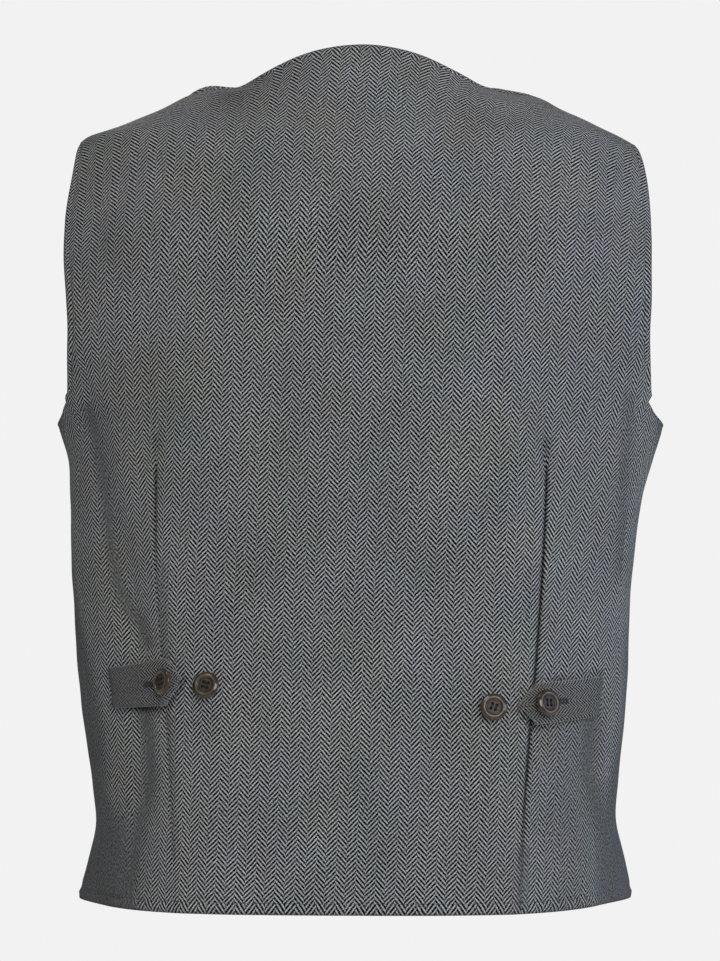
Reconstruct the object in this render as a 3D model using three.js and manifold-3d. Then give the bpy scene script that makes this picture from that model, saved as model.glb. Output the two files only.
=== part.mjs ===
// Herringbone tweed waistcoat, worn shape with no wearer inside. Millimetres, +Z up.
// The front faces -Y, the back +Y, and the wearer's left is +X. The origin is midway between the two
// points where the neck meets the shoulders, which is where the wearer's shoulders hold it up.
import * as THREE from "three";
import { mergeVertices } from "three/addons/utils/BufferGeometryUtils.js";
import Module from "manifold-3d";

const wasm = await Module();
wasm.setup();

// ---- driving dimensions ----
const wall = 2; // thickness of the wool cloth
const seamGap = 0.3; // clear space between neighbouring pieces
const hemLevel = -579;
const seamTop = -226; // level where the side seam ends at the armhole
const seamInner = -335; // a front's row from there meets the closing edge at this level
const tipLevel = -40; // level of the shoulder tips
const neckLevel = 22.6; // level of the back neck edge at its middle
const seamBehindSide = 34; // the side seam runs this far behind the widest line
const overlap = 15; // each front passes the centre by this much
const layerDrop = wall + 2 * seamGap; // the right front lies this much under the left one
const tabSlant = 2.4; // the top corner of a tab's outer end reaches this much past its middle
const tabThick = 2.4; // two layers of cloth, pressed
const tabLift = 0.4; // clear space between a tab and the back
const buttonRadius = 9.5;
const buttonThick = 4.2;
const buttonRim = 3.4; // width of the raised rim, from its lip to the button's edge
const buttonDish = 1.1; // depth of the dish inside the rim
const buttonFoot = 7.3; // radius of the flat back
const buttonFacets = 18;
const holeRadius = 0.95;
const holeReach = 2.35; // from the button's axis to each hole
const frontButtons = { count: 5, top: -330, bottom: -528 };

function table(names, rows) {
  return rows.map((row) => Object.fromEntries(names.split(" ").map((name, i) => [name, row[i]])));
}

// The form that the cloth is worn on, a ring for each level. left and right are half widths, lobe is how
// far the cloth stands out beside the armhole and the hip, back and front are depths, square is how boxy
// the ring is, lean is how far its middle has moved sideways, rise is how far its sides lie above the
// level, dip is how far the back sinks between side and middle, and fall is how far the front lies below
// the sides.
const figure = table(
  "level left right lobe back front squareBack squareFront lean riseLeft riseRight dip fall",
  [
    [-579, 186, 186, 13, 106, 121, 3.1, 2.7, 4, -1.5, 0.5, 0, 0],
    [-553, 186, 186, 7, 103, 120, 3.2, 2.7, 3, -0.5, -0.5, 0, 0],
    [-524, 186, 186, 0, 100, 118, 3.3, 2.7, 3, 0, 0, 0, 0],
    [-495, 188, 188, 0, 97, 117, 3.3, 2.7, 3.5, 0, 0, 0, 0],
    [-438, 195, 195, 0, 93, 116, 3.1, 2.6, 5, 0, 0, 0, 0],
    [-352, 200, 200, 0, 92, 118, 2.9, 2.6, 6, 0, 0, 0, 0],
    [-295, 204, 204, 0, 96, 121, 2.8, 2.6, 3.5, 0, 0, 0, 0],
    [-268, 205, 207, 3, 98, 122, 2.8, 2.6, 1.5, 0, 0, 0, 0],
    [-243, 206, 206, 11, 100, 123, 2.7, 2.6, 0.5, 0, 0, 0, 0],
    [-226, 216, 211.5, 4, 101, 123, 2.7, 2.6, 0, 0, 0, 0, 0],
    [-208, 220, 219, 2, 102, 122, 2.6, 2.6, 0, 0, 0, 0, 0],
    [-182, 232, 232, 0, 103, 121, 2.5, 2.5, 0, 0, 0, 0, 0],
    [-127, 238, 237, 0, 103, 111, 2.5, 2.5, 0, 0, 0, 0, 0],
    [-99, 234, 233, 0, 101, 99, 2.5, 2.5, 0, 0, 0, 0, 0],
    [-70, 222, 221, 0, 96, 84, 2.4, 2.4, 0, 0, 0, 0, 0],
    [-55, 213, 211, 0, 93, 73, 2.4, 2.4, 0, 0, 0, 0, 0],
    [-47, 206, 204, 0, 90, 66, 2.4, 2.4, 0, 1, -0.5, 0, 1],
    [-40, 196.5, 193, 0, 88, 60, 2.3, 2.4, 0, 3, -1, 0, 3],
    [-36, 186, 184, 0, 86, 54, 2.3, 2.4, 0, 3, 0, 0, 5],
    [-30, 164, 165, 0, 83, 46, 2.3, 2.4, 0, 5, 3, 1, 8],
    [-24, 143, 147, 0, 80, 40, 2.2, 2.4, 0, 8, 5.5, 2, 9],
    [-16, 122, 131, 0, 77, 35, 2.2, 2.4, 0, 10.4, 6.5, 4, 10],
    [-7, 110, 115, 0, 74, 31, 2.1, 2.3, 0, 7.6, 2.5, 6, 10],
    [6, 95, 98, 0, 69, 27, 2.1, 2.3, -1, -5, -7.5, 6.5, 9],
    [22.6, 80, 82, 0, 62, 24, 2, 2.2, -2, -23.2, -24, 0, 8],
  ],
);

// Half width of the back at the armhole edge, measured from the middle of the garment.
const backArmhole = table("level left right", [
  [-219, 206.5, 206.5],
  [-208, 206.3, 206.5],
  [-182, 204, 205],
  [-155, 204.5, 205.5],
  [-127, 206.5, 206],
  [-99, 206, 205.5],
  [-85, 204.5, 204.5],
  [-70, 203, 203],
  [-55, 201.5, 200.5],
  [-47, 200.5, 198],
  [-40, 196.5, 193],
]);

// Each row of a front starts on its armhole edge, at a level and a turn from the back, and runs down to
// a lower level on the neckline or the closing edge.
const frontArmhole = table("level turn inner", [
  [-234, 79, -322],
  [-240.5, 90, -308],
  [-242, 98, -292],
  [-237.5, 107, -271],
  [-224, 116, -252],
  [-204, 126, -232],
  [-167, 135.5, -195],
  [-130, 139, -152],
  [-95, 137.5, -108],
  [-70, 131, -72],
  [-52, 119, -38],
  [-43, 104, -8],
  [-40, 90, 22.6],
]);

// Neckline of a front: how far its edge is from the middle. Below zero it has passed the middle.
const neckline = table("level out", [
  [hemLevel, -overlap],
  [-350, -overlap],
  [seamInner, -13],
  [-308, -3],
  [-268, 13],
  [-195, 35],
  [-108, 58.5],
  [-38, 73],
  [-8, 78],
  [22.6, 80],
]);

// The two long darts of the back, from below the shoulder blade to the hem.
const darts = table("level left right depth", [
  [-579, 124, -113, 1],
  [-524, 126, -115, 1],
  [-467, 129, -119, 0.9],
  [-410, 133.5, -124, 0.8],
  [-340, 138.5, -129, 0.6],
  [-262, 138.5, -132, 0],
  [-150, 135, -132, 0],
  [-40, 112, -110, 0],
  [22.6, 44, -46, 0],
]);
const dartRidge = { rise: 3.5, reach: 30 };
const dartGroove = { depth: 1.6, reach: 5 };

// Soft troughs (below zero) and ridges that pressing and wear have left.
const folds = table("part fromX fromLevel toX toLevel width height", [
  ["back", 186, -230, 150, -405, 15, -2.6],
  ["back", 149, -447, 147, -545, 10, -2],
  ["back", -160, -460, -166, -565, 11, -2.6],
  ["back", 73, -443, 46, -480, 9, -1.6],
  ["back", 98, -530, 62, -551, 9, -1.7],
  ["back", -103, -185, -106, -283, 12, 1.6],
  ["back", -96, -214, -130, -262, 9, -1.8],
  ["back", 40, -60, 78, -20, 14, -1.4],
  ["left", 176, -262, 128, -330, 14, -2.4],
  ["left", 150, -470, 118, -560, 16, 2.2],
  ["left", 60, -520, 84, -575, 12, -1.6],
  ["right", -180, -262, -120, -350, 13, -2.6],
  ["right", -142, -455, -120, -565, 17, 2],
  ["right", -66, -505, -80, -575, 12, -1.8],
]);

// Half belts: where the outer end, the corners and the point are, the levels of both ends' middles, and
// how far the point is drawn up.
const tabs = table("name side outer corner point outerLevel innerLevel outerHeight innerHeight pointRise", [
  ["tab_left", 1, 170.5, 129.4, 118.5, -426.5, -420.5, 28, 33, 3],
  ["tab_right", -1, 168.5, 122, 110.5, -432, -435.5, 28, 28.5, 0],
]);

// Waist buttons of the back. turn is how far each one's face looks to its side, and tilt how far up.
const waistButtons = table("name x level turn tilt lift", [
  ["button_tab_left", 129, -420.5, 52, 8, 8.6],
  ["button_waist_left", 101.5, -423, 20, 18, 3.6],
  ["button_tab_right", -128, -435, -37, 14, 7.4],
  ["button_waist_right", -94, -437.5, -8, 16, 3.2],
]);

const dipPeak = 2.6; // makes the largest value of cos x sin^2 one
const riseCurve = 1.9; // how soon a ring climbs or falls away from the middle of the back
const tweed = { color: 0x5c5e62, roughness: 0.95, metalness: 0 };
const horn = { color: 0x3a2a20, roughness: 0.35, metalness: 0 };

// ---- reading the tables ----
// Between two rows a column follows a cubic whose slopes come from the rows around it.
function read(rows, column, level) {
  const last = rows.length - 1;
  let i = 0;
  while (i < last - 1 && level > rows[i + 1].level) i++;
  const span = rows[i + 1].level - rows[i].level;
  const t = THREE.MathUtils.clamp((level - rows[i].level) / span, 0, 1);
  const slope = (k) => {
    const a = rows[Math.max(k - 1, 0)];
    const b = rows[Math.min(k + 1, last)];
    return ((b[column] - a[column]) / (b.level - a.level)) * span;
  };
  const [t2, t3] = [t * t, t * t * t];
  return (
    (2 * t3 - 3 * t2 + 1) * rows[i][column] +
    (t3 - 2 * t2 + t) * slope(i) +
    (3 * t2 - 2 * t3) * rows[i + 1][column] +
    (t3 - t2) * slope(i + 1)
  );
}

// ---- the form ----
const radians = THREE.MathUtils.degToRad;
const smooth = THREE.MathUtils.smoothstep;
const halfWidth = (level, side) => read(figure, side > 0 ? "left" : "right", level);

// Point of the bare form. turn is 0 at the middle of the back, 90 at the side and 180 at the front,
// and it is below zero on the wearer's right.
function ringPoint(level, turn) {
  const side = turn < 0 ? -1 : 1;
  const away = Math.abs(turn);
  const atFront = away > 90;
  const [sine, cosine] = [Math.sin(radians(away)), Math.cos(radians(away))];
  const square = read(figure, atFront ? "squareFront" : "squareBack", level);
  const depth = read(figure, atFront ? "front" : "back", level);
  const out = Math.sign(sine) * Math.abs(sine) ** (2 / square);
  const lobe = read(figure, "lobe", level) * smooth(away, 64, 96) * (1 - smooth(away, 105, 150));
  const rise = read(figure, side > 0 ? "riseLeft" : "riseRight", level);
  const drop = atFront
    ? read(figure, "fall", level) * cosine
    : -rise * cosine ** riseCurve - read(figure, "dip", level) * dipPeak * cosine * sine ** 2;
  return new THREE.Vector3(
    side * (out * halfWidth(level, side) + lobe) + read(figure, "lean", level),
    depth * cosine,
    level + rise + drop,
  );
}

function ringNormal(level, turn) {
  const [dl, dt] = [1.5, 1.5];
  const up = ringPoint(level + dl, turn).sub(ringPoint(level - dl, turn));
  const round = ringPoint(level, turn + dt).sub(ringPoint(level, turn - dt));
  return round.cross(up).negate().normalize();
}

// Turn at which the form is a given distance from the middle, on its back or its front.
function turnAt(level, x, atFront) {
  const side = x < 0 ? -1 : 1;
  const square = read(figure, atFront ? "squareFront" : "squareBack", level);
  const share = Math.min(Math.abs(x) / halfWidth(level, side), 1);
  const angle = THREE.MathUtils.radToDeg(Math.asin(share ** (square / 2)));
  return side * (atFront ? 180 - angle : angle);
}

const seamTurn = (level) =>
  THREE.MathUtils.radToDeg(Math.acos(seamBehindSide / read(figure, "back", level)));

function foldHeight(part, x, level) {
  let height = 0;
  for (const fold of folds.filter((f) => f.part === part)) {
    const run = new THREE.Vector2(fold.toX - fold.fromX, fold.toLevel - fold.fromLevel);
    const here = new THREE.Vector2(x - fold.fromX, level - fold.fromLevel);
    const along = here.dot(run) / run.lengthSq();
    const across = here.cross(run) / run.length();
    const fade = smooth(along, -0.3, 0.2) * (1 - smooth(along, 0.8, 1.3));
    height += fold.height * fade * Math.exp(-((across / fold.width) ** 2));
  }
  return height;
}

// A dart turns the cloth at its line, with a narrow groove where it is sewn.
function dartHeight(x, level, groove) {
  const strength = read(darts, "depth", level);
  const dart = read(darts, x > 0 ? "left" : "right", level);
  const off = Math.abs(x - dart);
  const ridge = dartRidge.rise * Math.exp(-off / dartRidge.reach);
  const sewn = groove ? dartGroove.depth * Math.exp(-((off / dartGroove.reach) ** 2)) : 0;
  return strength * (ridge - sewn);
}

function backPoint(level, turn, out, groove = true) {
  const point = ringPoint(level, turn);
  const height = foldHeight("back", point.x, level) + dartHeight(point.x, level, groove);
  return point.addScaledVector(ringNormal(level, turn), height + out);
}

function frontPoint(part, level, turn, out) {
  const point = ringPoint(level, turn);
  const height = foldHeight(part, point.x, level);
  return point.addScaledVector(ringNormal(level, turn), height + out);
}

// ---- solids ----
// A closed wall between an outer and an inner layer of the same grid. Both layers come from a function of
// two shares, 0 to 1 along and across the piece, and the rim joins them.
function wallGeometry(columns, rows, layer, mirrored) {
  const grid = new THREE.PlaneGeometry(1, 1, columns, rows);
  const shares = grid.attributes.uv;
  const count = shares.count;
  const points = [];
  for (const inner of [false, true])
    for (let i = 0; i < count; i++) points.push(layer(shares.getX(i), shares.getY(i), inner));
  const faces = [];
  const triangle = (a, b, c) => faces.push(...(mirrored ? [a, c, b] : [a, b, c]));
  const index = grid.index.array;
  for (let i = 0; i < index.length; i += 3) {
    triangle(index[i], index[i + 1], index[i + 2]);
    triangle(index[i] + count, index[i + 2] + count, index[i + 1] + count);
  }
  const rim = [];
  for (let c = 0; c < columns; c++) rim.push(c);
  for (let r = 0; r < rows; r++) rim.push(r * (columns + 1) + columns);
  for (let c = columns; c > 0; c--) rim.push(rows * (columns + 1) + c);
  for (let r = rows; r > 0; r--) rim.push(r * (columns + 1));
  rim.forEach((a, i) => {
    const b = rim[(i + 1) % rim.length];
    triangle(a, b, b + count);
    triangle(a, b + count, a + count);
  });
  const geometry = new THREE.BufferGeometry().setFromPoints(points);
  geometry.setIndex(faces);
  geometry.computeVertexNormals();
  return geometry;
}

function piece(name, geometry, finish) {
  const mesh = new THREE.Mesh(geometry, new THREE.MeshStandardMaterial(finish));
  mesh.name = name;
  return mesh;
}

// Half width of the back at a level: on the side seam, the armhole or the shoulder seam.
function backEdge(level, side) {
  if (level <= seamTop) return side * seamTurn(level);
  if (level > tipLevel) return side * 90;
  return turnAt(level, side * read(backArmhole, side > 0 ? "left" : "right", level), false);
}

// Half the seam gap, along the form's ring and towards the side that a sign gives.
function seamShift(level, turn, sign) {
  const along = ringPoint(level, turn + 1).sub(ringPoint(level, turn - 1)).normalize();
  return along.multiplyScalar((sign * seamGap) / 2);
}

// The back and the fronts share their rows along the side seams and the shoulder seams.
const seamRows = 14;
const shoulderRows = 14;
const backColumns = { sides: 6, middle: 10, crowd: 0.85 };

// Rows of the back between the levels where its edge changes.
const backRows = table("level rows", [
  [hemLevel, seamRows],
  [seamTop, 1],
  [-219, 7],
  [-64, 3],
  [tipLevel, shoulderRows],
  [neckLevel, 0],
]);

function levelsOf(stops) {
  const levels = [];
  for (let i = 0; i < stops.length - 1; i++)
    for (let row = 0; row < stops[i].rows; row++)
      levels.push(THREE.MathUtils.lerp(stops[i].level, stops[i + 1].level, row / stops[i].rows));
  return [...levels, stops.at(-1).level];
}

function makeBack() {
  const columns = 2 * backColumns.sides + backColumns.middle;
  const levels = levelsOf(backRows);
  const layer = (u, v, inner) => {
    const level = levels[Math.round(v * (levels.length - 1))];
    const column = Math.round(u * columns);
    const side = column < columns / 2 ? 1 : -1;
    const fromEdge = side > 0 ? column : columns - column;
    const dart = turnAt(level, read(darts, side > 0 ? "left" : "right", level), false);
    const edge = backEdge(level, side);
    let turn;
    if (fromEdge < backColumns.sides) {
      const share = (1 - fromEdge / backColumns.sides) ** backColumns.crowd;
      turn = THREE.MathUtils.lerp(dart, edge, share);
    } else {
      const other = turnAt(level, read(darts, side > 0 ? "right" : "left", level), false);
      const [dartX, otherX] = [ringPoint(level, dart).x, ringPoint(level, other).x];
      const x = THREE.MathUtils.lerp(dartX, otherX, (fromEdge - backColumns.sides) / backColumns.middle);
      turn = turnAt(level, x - read(figure, "lean", level), false);
    }
    const point = backPoint(level, turn, inner ? -wall : 0);
    if (fromEdge > 0 || (level > seamTop && level < tipLevel)) return point;
    return point.add(seamShift(level, turn, -side));
  };
  return piece("back", wallGeometry(columns, levels.length - 1, layer, false), tweed);
}

// Columns of a front stand closer towards the side seam, and again towards the flat closing edge. Its
// rows fall most near the side seam.
const frontCrowd = { side: 1.3, closing: 1.35, fall: 2 };
// The right front goes under the left one between these turns.
const underFrom = 168;
const underTo = 174;

// Where each row of a front starts and the level on its inner edge that it runs to.
function frontRows() {
  const seam = [];
  for (let row = 0; row <= seamRows; row++) {
    const level = THREE.MathUtils.lerp(hemLevel, seamTop, row / seamRows);
    const inner = THREE.MathUtils.lerp(hemLevel, seamInner, row / seamRows);
    seam.push({ level, turn: seamTurn(level), inner });
  }
  return [...seam, ...frontArmhole];
}

// Turn of a front's inner edge: less than half way round on the neckline, and more where it has passed
// the middle to overlap the other front.
function innerTurn(level, side) {
  if (level === neckLevel) return 90;
  const out = read(neckline, "out", level);
  const turn = Math.abs(turnAt(level, side * Math.abs(out), true));
  return out < 0 ? 360 - turn : turn;
}

function makeFront(name, side) {
  const part = side > 0 ? "left" : "right";
  const rows = frontRows();
  const layer = (u, v, inner) => {
    const row = Math.round(v * (rows.length - 1));
    const start = rows[row];
    const onShoulder = row === rows.length - 1;
    const share = onShoulder ? u : u ** frontCrowd.side;
    const round = onShoulder ? u : 1 - (1 - share) ** frontCrowd.closing;
    const fallen = onShoulder ? u : 1 - (1 - share) ** frontCrowd.fall;
    const level = THREE.MathUtils.lerp(start.level, start.inner, fallen);
    const turn = THREE.MathUtils.lerp(start.turn, innerTurn(start.inner, side), round);
    const under = side < 0 ? layerDrop * smooth(turn, underFrom, underTo) : 0;
    const point = frontPoint(part, level, side * turn, (inner ? -wall : 0) - under);
    const onSeam = onShoulder || (u === 0 && row <= seamRows);
    return onSeam ? point.add(seamShift(level, side * turn, side)) : point;
  };
  return piece(name, wallGeometry(shoulderRows, rows.length - 1, layer, side > 0), tweed);
}

// A half belt lies on the back's own points, moved out, with a blunt point towards the middle.
function makeTab(tab) {
  const columns = 14;
  const rows = 6;
  const layer = (u, v, inner) => {
    const across = (v - 0.5) * 2;
    const tip = tab.corner + (tab.point - tab.corner) * (1 - Math.abs(across));
    const x = tab.side * THREE.MathUtils.lerp(tab.outer + tabSlant * across, tip, u);
    const height = THREE.MathUtils.lerp(tab.outerHeight, tab.innerHeight, u);
    const middle = THREE.MathUtils.lerp(tab.outerLevel, tab.innerLevel, u);
    const drawnUp = tab.pointRise * u ** 6 * (1 - Math.abs(across));
    const level = middle + drawnUp + (across * height) / 2;
    const lean = read(figure, "lean", level);
    const out = tabLift + (inner ? 0 : tabThick);
    return backPoint(level, turnAt(level, x - lean, false), out, false);
  };
  return piece(tab.name, wallGeometry(columns, rows, layer, tab.side < 0), tweed);
}

// ---- buttons ----
function solid(geometry) {
  const bare = geometry.clone();
  bare.deleteAttribute("normal");
  bare.deleteAttribute("uv");
  const merged = mergeVertices(bare, 1e-4);
  return new wasm.Manifold(
    new wasm.Mesh({
      numProp: 3,
      vertProperties: merged.attributes.position.array,
      triVerts: new Uint32Array(merged.index.array),
    }),
  );
}

function geometryOf(made) {
  const mesh = made.getMesh();
  const geometry = new THREE.BufferGeometry();
  geometry.setAttribute("position", new THREE.BufferAttribute(mesh.vertProperties, 3));
  geometry.setIndex(new THREE.BufferAttribute(mesh.triVerts, 1));
  geometry.computeVertexNormals();
  return geometry;
}

// A dished four-hole button. Its axis is Z, and its flat back lies on z = 0.
function buttonGeometry() {
  const inside = buttonRadius - buttonRim;
  const profile = [
    [0, 0],
    [buttonFoot, 0],
    [buttonRadius - 0.4, 1.3],
    [buttonRadius, 2.1],
    [buttonRadius - 0.4, 2.9],
    [buttonRadius - 1.5, 3.7],
    [buttonRadius - 2.6, buttonThick],
    [inside, buttonThick - 0.4],
    [inside - 0.5, buttonThick - buttonDish],
    [0, buttonThick - buttonDish],
  ].map(([x, y]) => new THREE.Vector2(x, y));
  const turned = new THREE.LatheGeometry(profile, buttonFacets).rotateX(Math.PI / 2);
  let made = solid(turned);
  for (let i = 0; i < 4; i++) {
    const angle = Math.PI / 4 + (i * Math.PI) / 2;
    const drill = new THREE.CylinderGeometry(holeRadius, holeRadius, 3 * buttonThick, 6)
      .rotateX(Math.PI / 2)
      .translate(holeReach * Math.cos(angle), holeReach * Math.sin(angle), 0);
    made = made.subtract(solid(drill));
  }
  return geometryOf(made);
}

// Stands a button on a point of the cloth, with its face towards a direction.
function placeButton(name, point, facing) {
  const button = piece(name, buttonGeometry(), horn);
  button.quaternion.setFromUnitVectors(new THREE.Vector3(0, 0, 1), facing.clone().normalize());
  button.position.copy(point);
  return button;
}

const waistcoat = new THREE.Group();
waistcoat.add(makeBack(), makeFront("front_left", 1), makeFront("front_right", -1));
for (const tab of tabs) waistcoat.add(makeTab(tab));

for (const spot of waistButtons) {
  const turn = turnAt(spot.level, spot.x - read(figure, "lean", spot.level), false);
  const level = Math.cos(radians(spot.tilt));
  const facing = new THREE.Vector3(
    Math.sin(radians(spot.turn)) * level,
    Math.cos(radians(spot.turn)) * level,
    Math.sin(radians(spot.tilt)),
  );
  waistcoat.add(placeButton(spot.name, backPoint(spot.level, turn, spot.lift), facing));
}

for (let i = 0; i < frontButtons.count; i++) {
  const share = i / (frontButtons.count - 1);
  const level = THREE.MathUtils.lerp(frontButtons.top, frontButtons.bottom, share);
  const lean = read(figure, "lean", level);
  const turn = turnAt(level, 0.001, true);
  const point = frontPoint("left", level, turn, 1).setX(lean);
  waistcoat.add(placeButton(`button_front_${i + 1}`, point, new THREE.Vector3(0, -1, 0)));
}

export default waistcoat;
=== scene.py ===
# Herringbone tweed waistcoat in its worn shape with nobody in it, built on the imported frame.
# Sizes of the cloth are in millimetres and meshes are in metres. The front faces -Y, the back +Y, and
# the wearer's left is +X.
import math
import bpy
import bmesh
import numpy as np
from mathutils import Matrix, Vector


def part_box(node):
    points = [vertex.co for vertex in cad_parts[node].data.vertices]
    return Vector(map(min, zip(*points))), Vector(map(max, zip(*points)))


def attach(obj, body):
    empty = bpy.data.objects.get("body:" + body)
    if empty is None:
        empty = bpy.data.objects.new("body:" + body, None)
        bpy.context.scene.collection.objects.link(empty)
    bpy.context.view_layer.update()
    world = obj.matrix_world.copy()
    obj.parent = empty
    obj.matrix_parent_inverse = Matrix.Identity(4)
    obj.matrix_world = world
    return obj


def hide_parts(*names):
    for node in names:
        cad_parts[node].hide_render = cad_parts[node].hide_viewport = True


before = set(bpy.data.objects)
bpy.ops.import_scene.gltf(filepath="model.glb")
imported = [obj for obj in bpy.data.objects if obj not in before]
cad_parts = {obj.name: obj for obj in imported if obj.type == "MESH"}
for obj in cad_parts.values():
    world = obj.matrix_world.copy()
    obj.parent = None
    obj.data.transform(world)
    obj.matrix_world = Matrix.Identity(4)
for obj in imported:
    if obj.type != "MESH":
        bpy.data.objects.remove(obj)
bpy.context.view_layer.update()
print("frame loaded")

mm = 0.001

# What the whole garment shares.
garment = {
    "wall": 2.0,  # thickness of the cloth
    "hemLevel": -579.0,
    "seamTop": -226.0,  # level where the side seam ends at the armhole
    "seamInner": -335.0,  # a front's row from there meets the closing edge at this level
    "armholeFrom": -219.0,  # the back has turned from its seam into its armhole here
    "tipFrom": -44.0,  # the armhole turns into the shoulder seam from here
    "tipLevel": -40.0,  # level of the shoulder tips
    "neckFrom": 6.0,  # the neckline turns into the shoulder seam from here
    "neckLevel": 22.6,  # level of the back neck edge at its middle
    "seamBehindSide": 34.0,
    "layerDrop": 2.6,  # the right front lies this much under the left one
    "seamLap": 0.12,  # how far the two sides of a seam are pressed together
    "sharedTurn": 14.0,  # a front takes over its own folds within this turn of the seam
}
dipPeak = 2.6  # makes the largest value of cos x sin^2 one
riseCurve = 1.9

# Each table has a row for each level, and each column is read between its rows along a smooth curve.
def table(names, rows):
    return dict(zip(names.split(), np.array(rows, dtype=float).T))


# The form that the cloth is worn on. left and right are half widths, lobe is how far the cloth stands out
# beside the armhole and the hip, back and front are depths, square is how boxy the ring is, lean is how
# far its middle has moved sideways, rise is how far its sides lie above the level, dip is how far the back
# sinks between side and middle, and fall is how far the front lies below the sides.
figure = table(
    "level left right lobe back front squareBack squareFront lean riseLeft riseRight dip fall",
    [
        [-579, 186, 186, 13, 106, 121, 3.1, 2.7, 4, -1.5, 0.5, 0, 0],
        [-553, 186, 186, 7, 103, 120, 3.2, 2.7, 3, -0.5, -0.5, 0, 0],
        [-524, 186, 186, 0, 100, 118, 3.3, 2.7, 3, 0, 0, 0, 0],
        [-495, 188, 188, 0, 97, 117, 3.3, 2.7, 3.5, 0, 0, 0, 0],
        [-438, 195, 195, 0, 93, 116, 3.1, 2.6, 5, 0, 0, 0, 0],
        [-352, 200, 200, 0, 92, 118, 2.9, 2.6, 6, 0, 0, 0, 0],
        [-295, 204, 204, 0, 96, 121, 2.8, 2.6, 3.5, 0, 0, 0, 0],
        [-268, 205, 207, 3, 98, 122, 2.8, 2.6, 1.5, 0, 0, 0, 0],
        [-243, 206, 206, 11, 100, 123, 2.7, 2.6, 0.5, 0, 0, 0, 0],
        [-226, 216, 213, 4, 101, 123, 2.7, 2.6, 0, 0, 0, 0, 0],
        [-208, 220, 219, 2, 102, 122, 2.6, 2.6, 0, 0, 0, 0, 0],
        [-182, 232, 232, 0, 103, 121, 2.5, 2.5, 0, 0, 0, 0, 0],
        [-127, 238, 237, 0, 103, 111, 2.5, 2.5, 0, 0, 0, 0, 0],
        [-99, 234, 233, 0, 101, 99, 2.5, 2.5, 0, 0, 0, 0, 0],
        [-70, 222, 221, 0, 96, 84, 2.4, 2.4, 0, 0, 0, 0, 0],
        [-55, 213, 211, 0, 93, 73, 2.4, 2.4, 0, 0, 0, 0, 0],
        [-47, 206, 204, 0, 90, 66, 2.4, 2.4, 0, 1, -0.5, 0, 1],
        [-40, 196.5, 193, 0, 88, 60, 2.3, 2.4, 0, 3, -1, 0, 3],
        [-36, 186, 184, 0, 86, 54, 2.3, 2.4, 0, 3, 0, 0, 5],
        [-30, 164, 165, 0, 83, 46, 2.3, 2.4, 0, 5, 3, 1, 8],
        [-24, 143, 147, 0, 80, 40, 2.2, 2.4, 0, 8, 5.5, 2, 9],
        [-16, 122, 131, 0, 77, 35, 2.2, 2.4, 0, 10.4, 6.5, 4, 10],
        [-7, 110, 115, 0, 74, 31, 2.1, 2.3, 0, 7.6, 2.5, 6, 10],
        [6, 95, 98, 0, 69, 27, 2.1, 2.3, -1, -5, -7.5, 6.5, 9],
        [22.6, 80, 82, 0, 62, 24, 2, 2.2, -2, -23.2, -24, 0, 8],
    ],
)

# Half width of the back at the armhole edge.
backArmhole = table("level left right", [
    [-219, 206.5, 206.5],
    [-208, 206.3, 206.5],
    [-182, 204, 205],
    [-155, 204.5, 205.5],
    [-127, 206.5, 206],
    [-99, 206, 205.5],
    [-85, 204.5, 204.5],
    [-70, 203, 203],
    [-55, 201.5, 200.5],
    [-47, 200.5, 198],
    [-40, 196.5, 193],
])

# The two long darts of the back, from below the shoulder blade to the hem. depth is how much they turn
# the cloth.
darts = table("level left right depth", [
    [-579, 124, -113, 1],
    [-524, 126, -115, 1],
    [-467, 129, -119, 0.9],
    [-410, 133.5, -124, 0.8],
    [-340, 138.5, -129, 0.6],
    [-262, 138.5, -132, 0],
    [-150, 135, -132, 0],
    [-40, 112, -110, 0],
    [22.6, 44, -46, 0],
])


# Runs from a to b as t runs from 0 to 1, with a slope given at each end.
def curved(t, a, b, slopeA, slopeB):
    return (
        (2 * t**3 - 3 * t**2 + 1) * a
        + (t**3 - 2 * t**2 + t) * slopeA
        + (3 * t**2 - 2 * t**3) * b
        + (t**3 - t**2) * slopeB
    )


def mix(a, b, t):
    return a + (b - a) * t


def read(rows, column, level):
    levels, values = rows["level"], rows[column]
    level = np.asarray(level, dtype=float)
    i = np.clip(np.searchsorted(levels, level, side="left") - 1, 0, len(levels) - 2)
    span = levels[i + 1] - levels[i]
    t = np.clip((level - levels[i]) / span, 0, 1)
    before, after = np.maximum(i - 1, 0), np.minimum(i + 2, len(levels) - 1)
    slopeStart = (values[i + 1] - values[before]) / (levels[i + 1] - levels[before]) * span
    slopeEnd = (values[after] - values[i]) / (levels[after] - levels[i]) * span
    return curved(t, values[i], values[i + 1], slopeStart, slopeEnd)


def smooth(value, start, end):
    t = np.clip((value - start) / (end - start), 0, 1)
    return t * t * (3 - 2 * t)


def apart(points, others):
    return np.linalg.norm(points - others, axis=-1)


# One at zero, and fading on both sides of it.
def bell(away, width):
    return np.exp(-((away / width) ** 2))


def bySide(rows, side, level):
    return np.where(side > 0, read(rows, "left", level), read(rows, "right", level))


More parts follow.
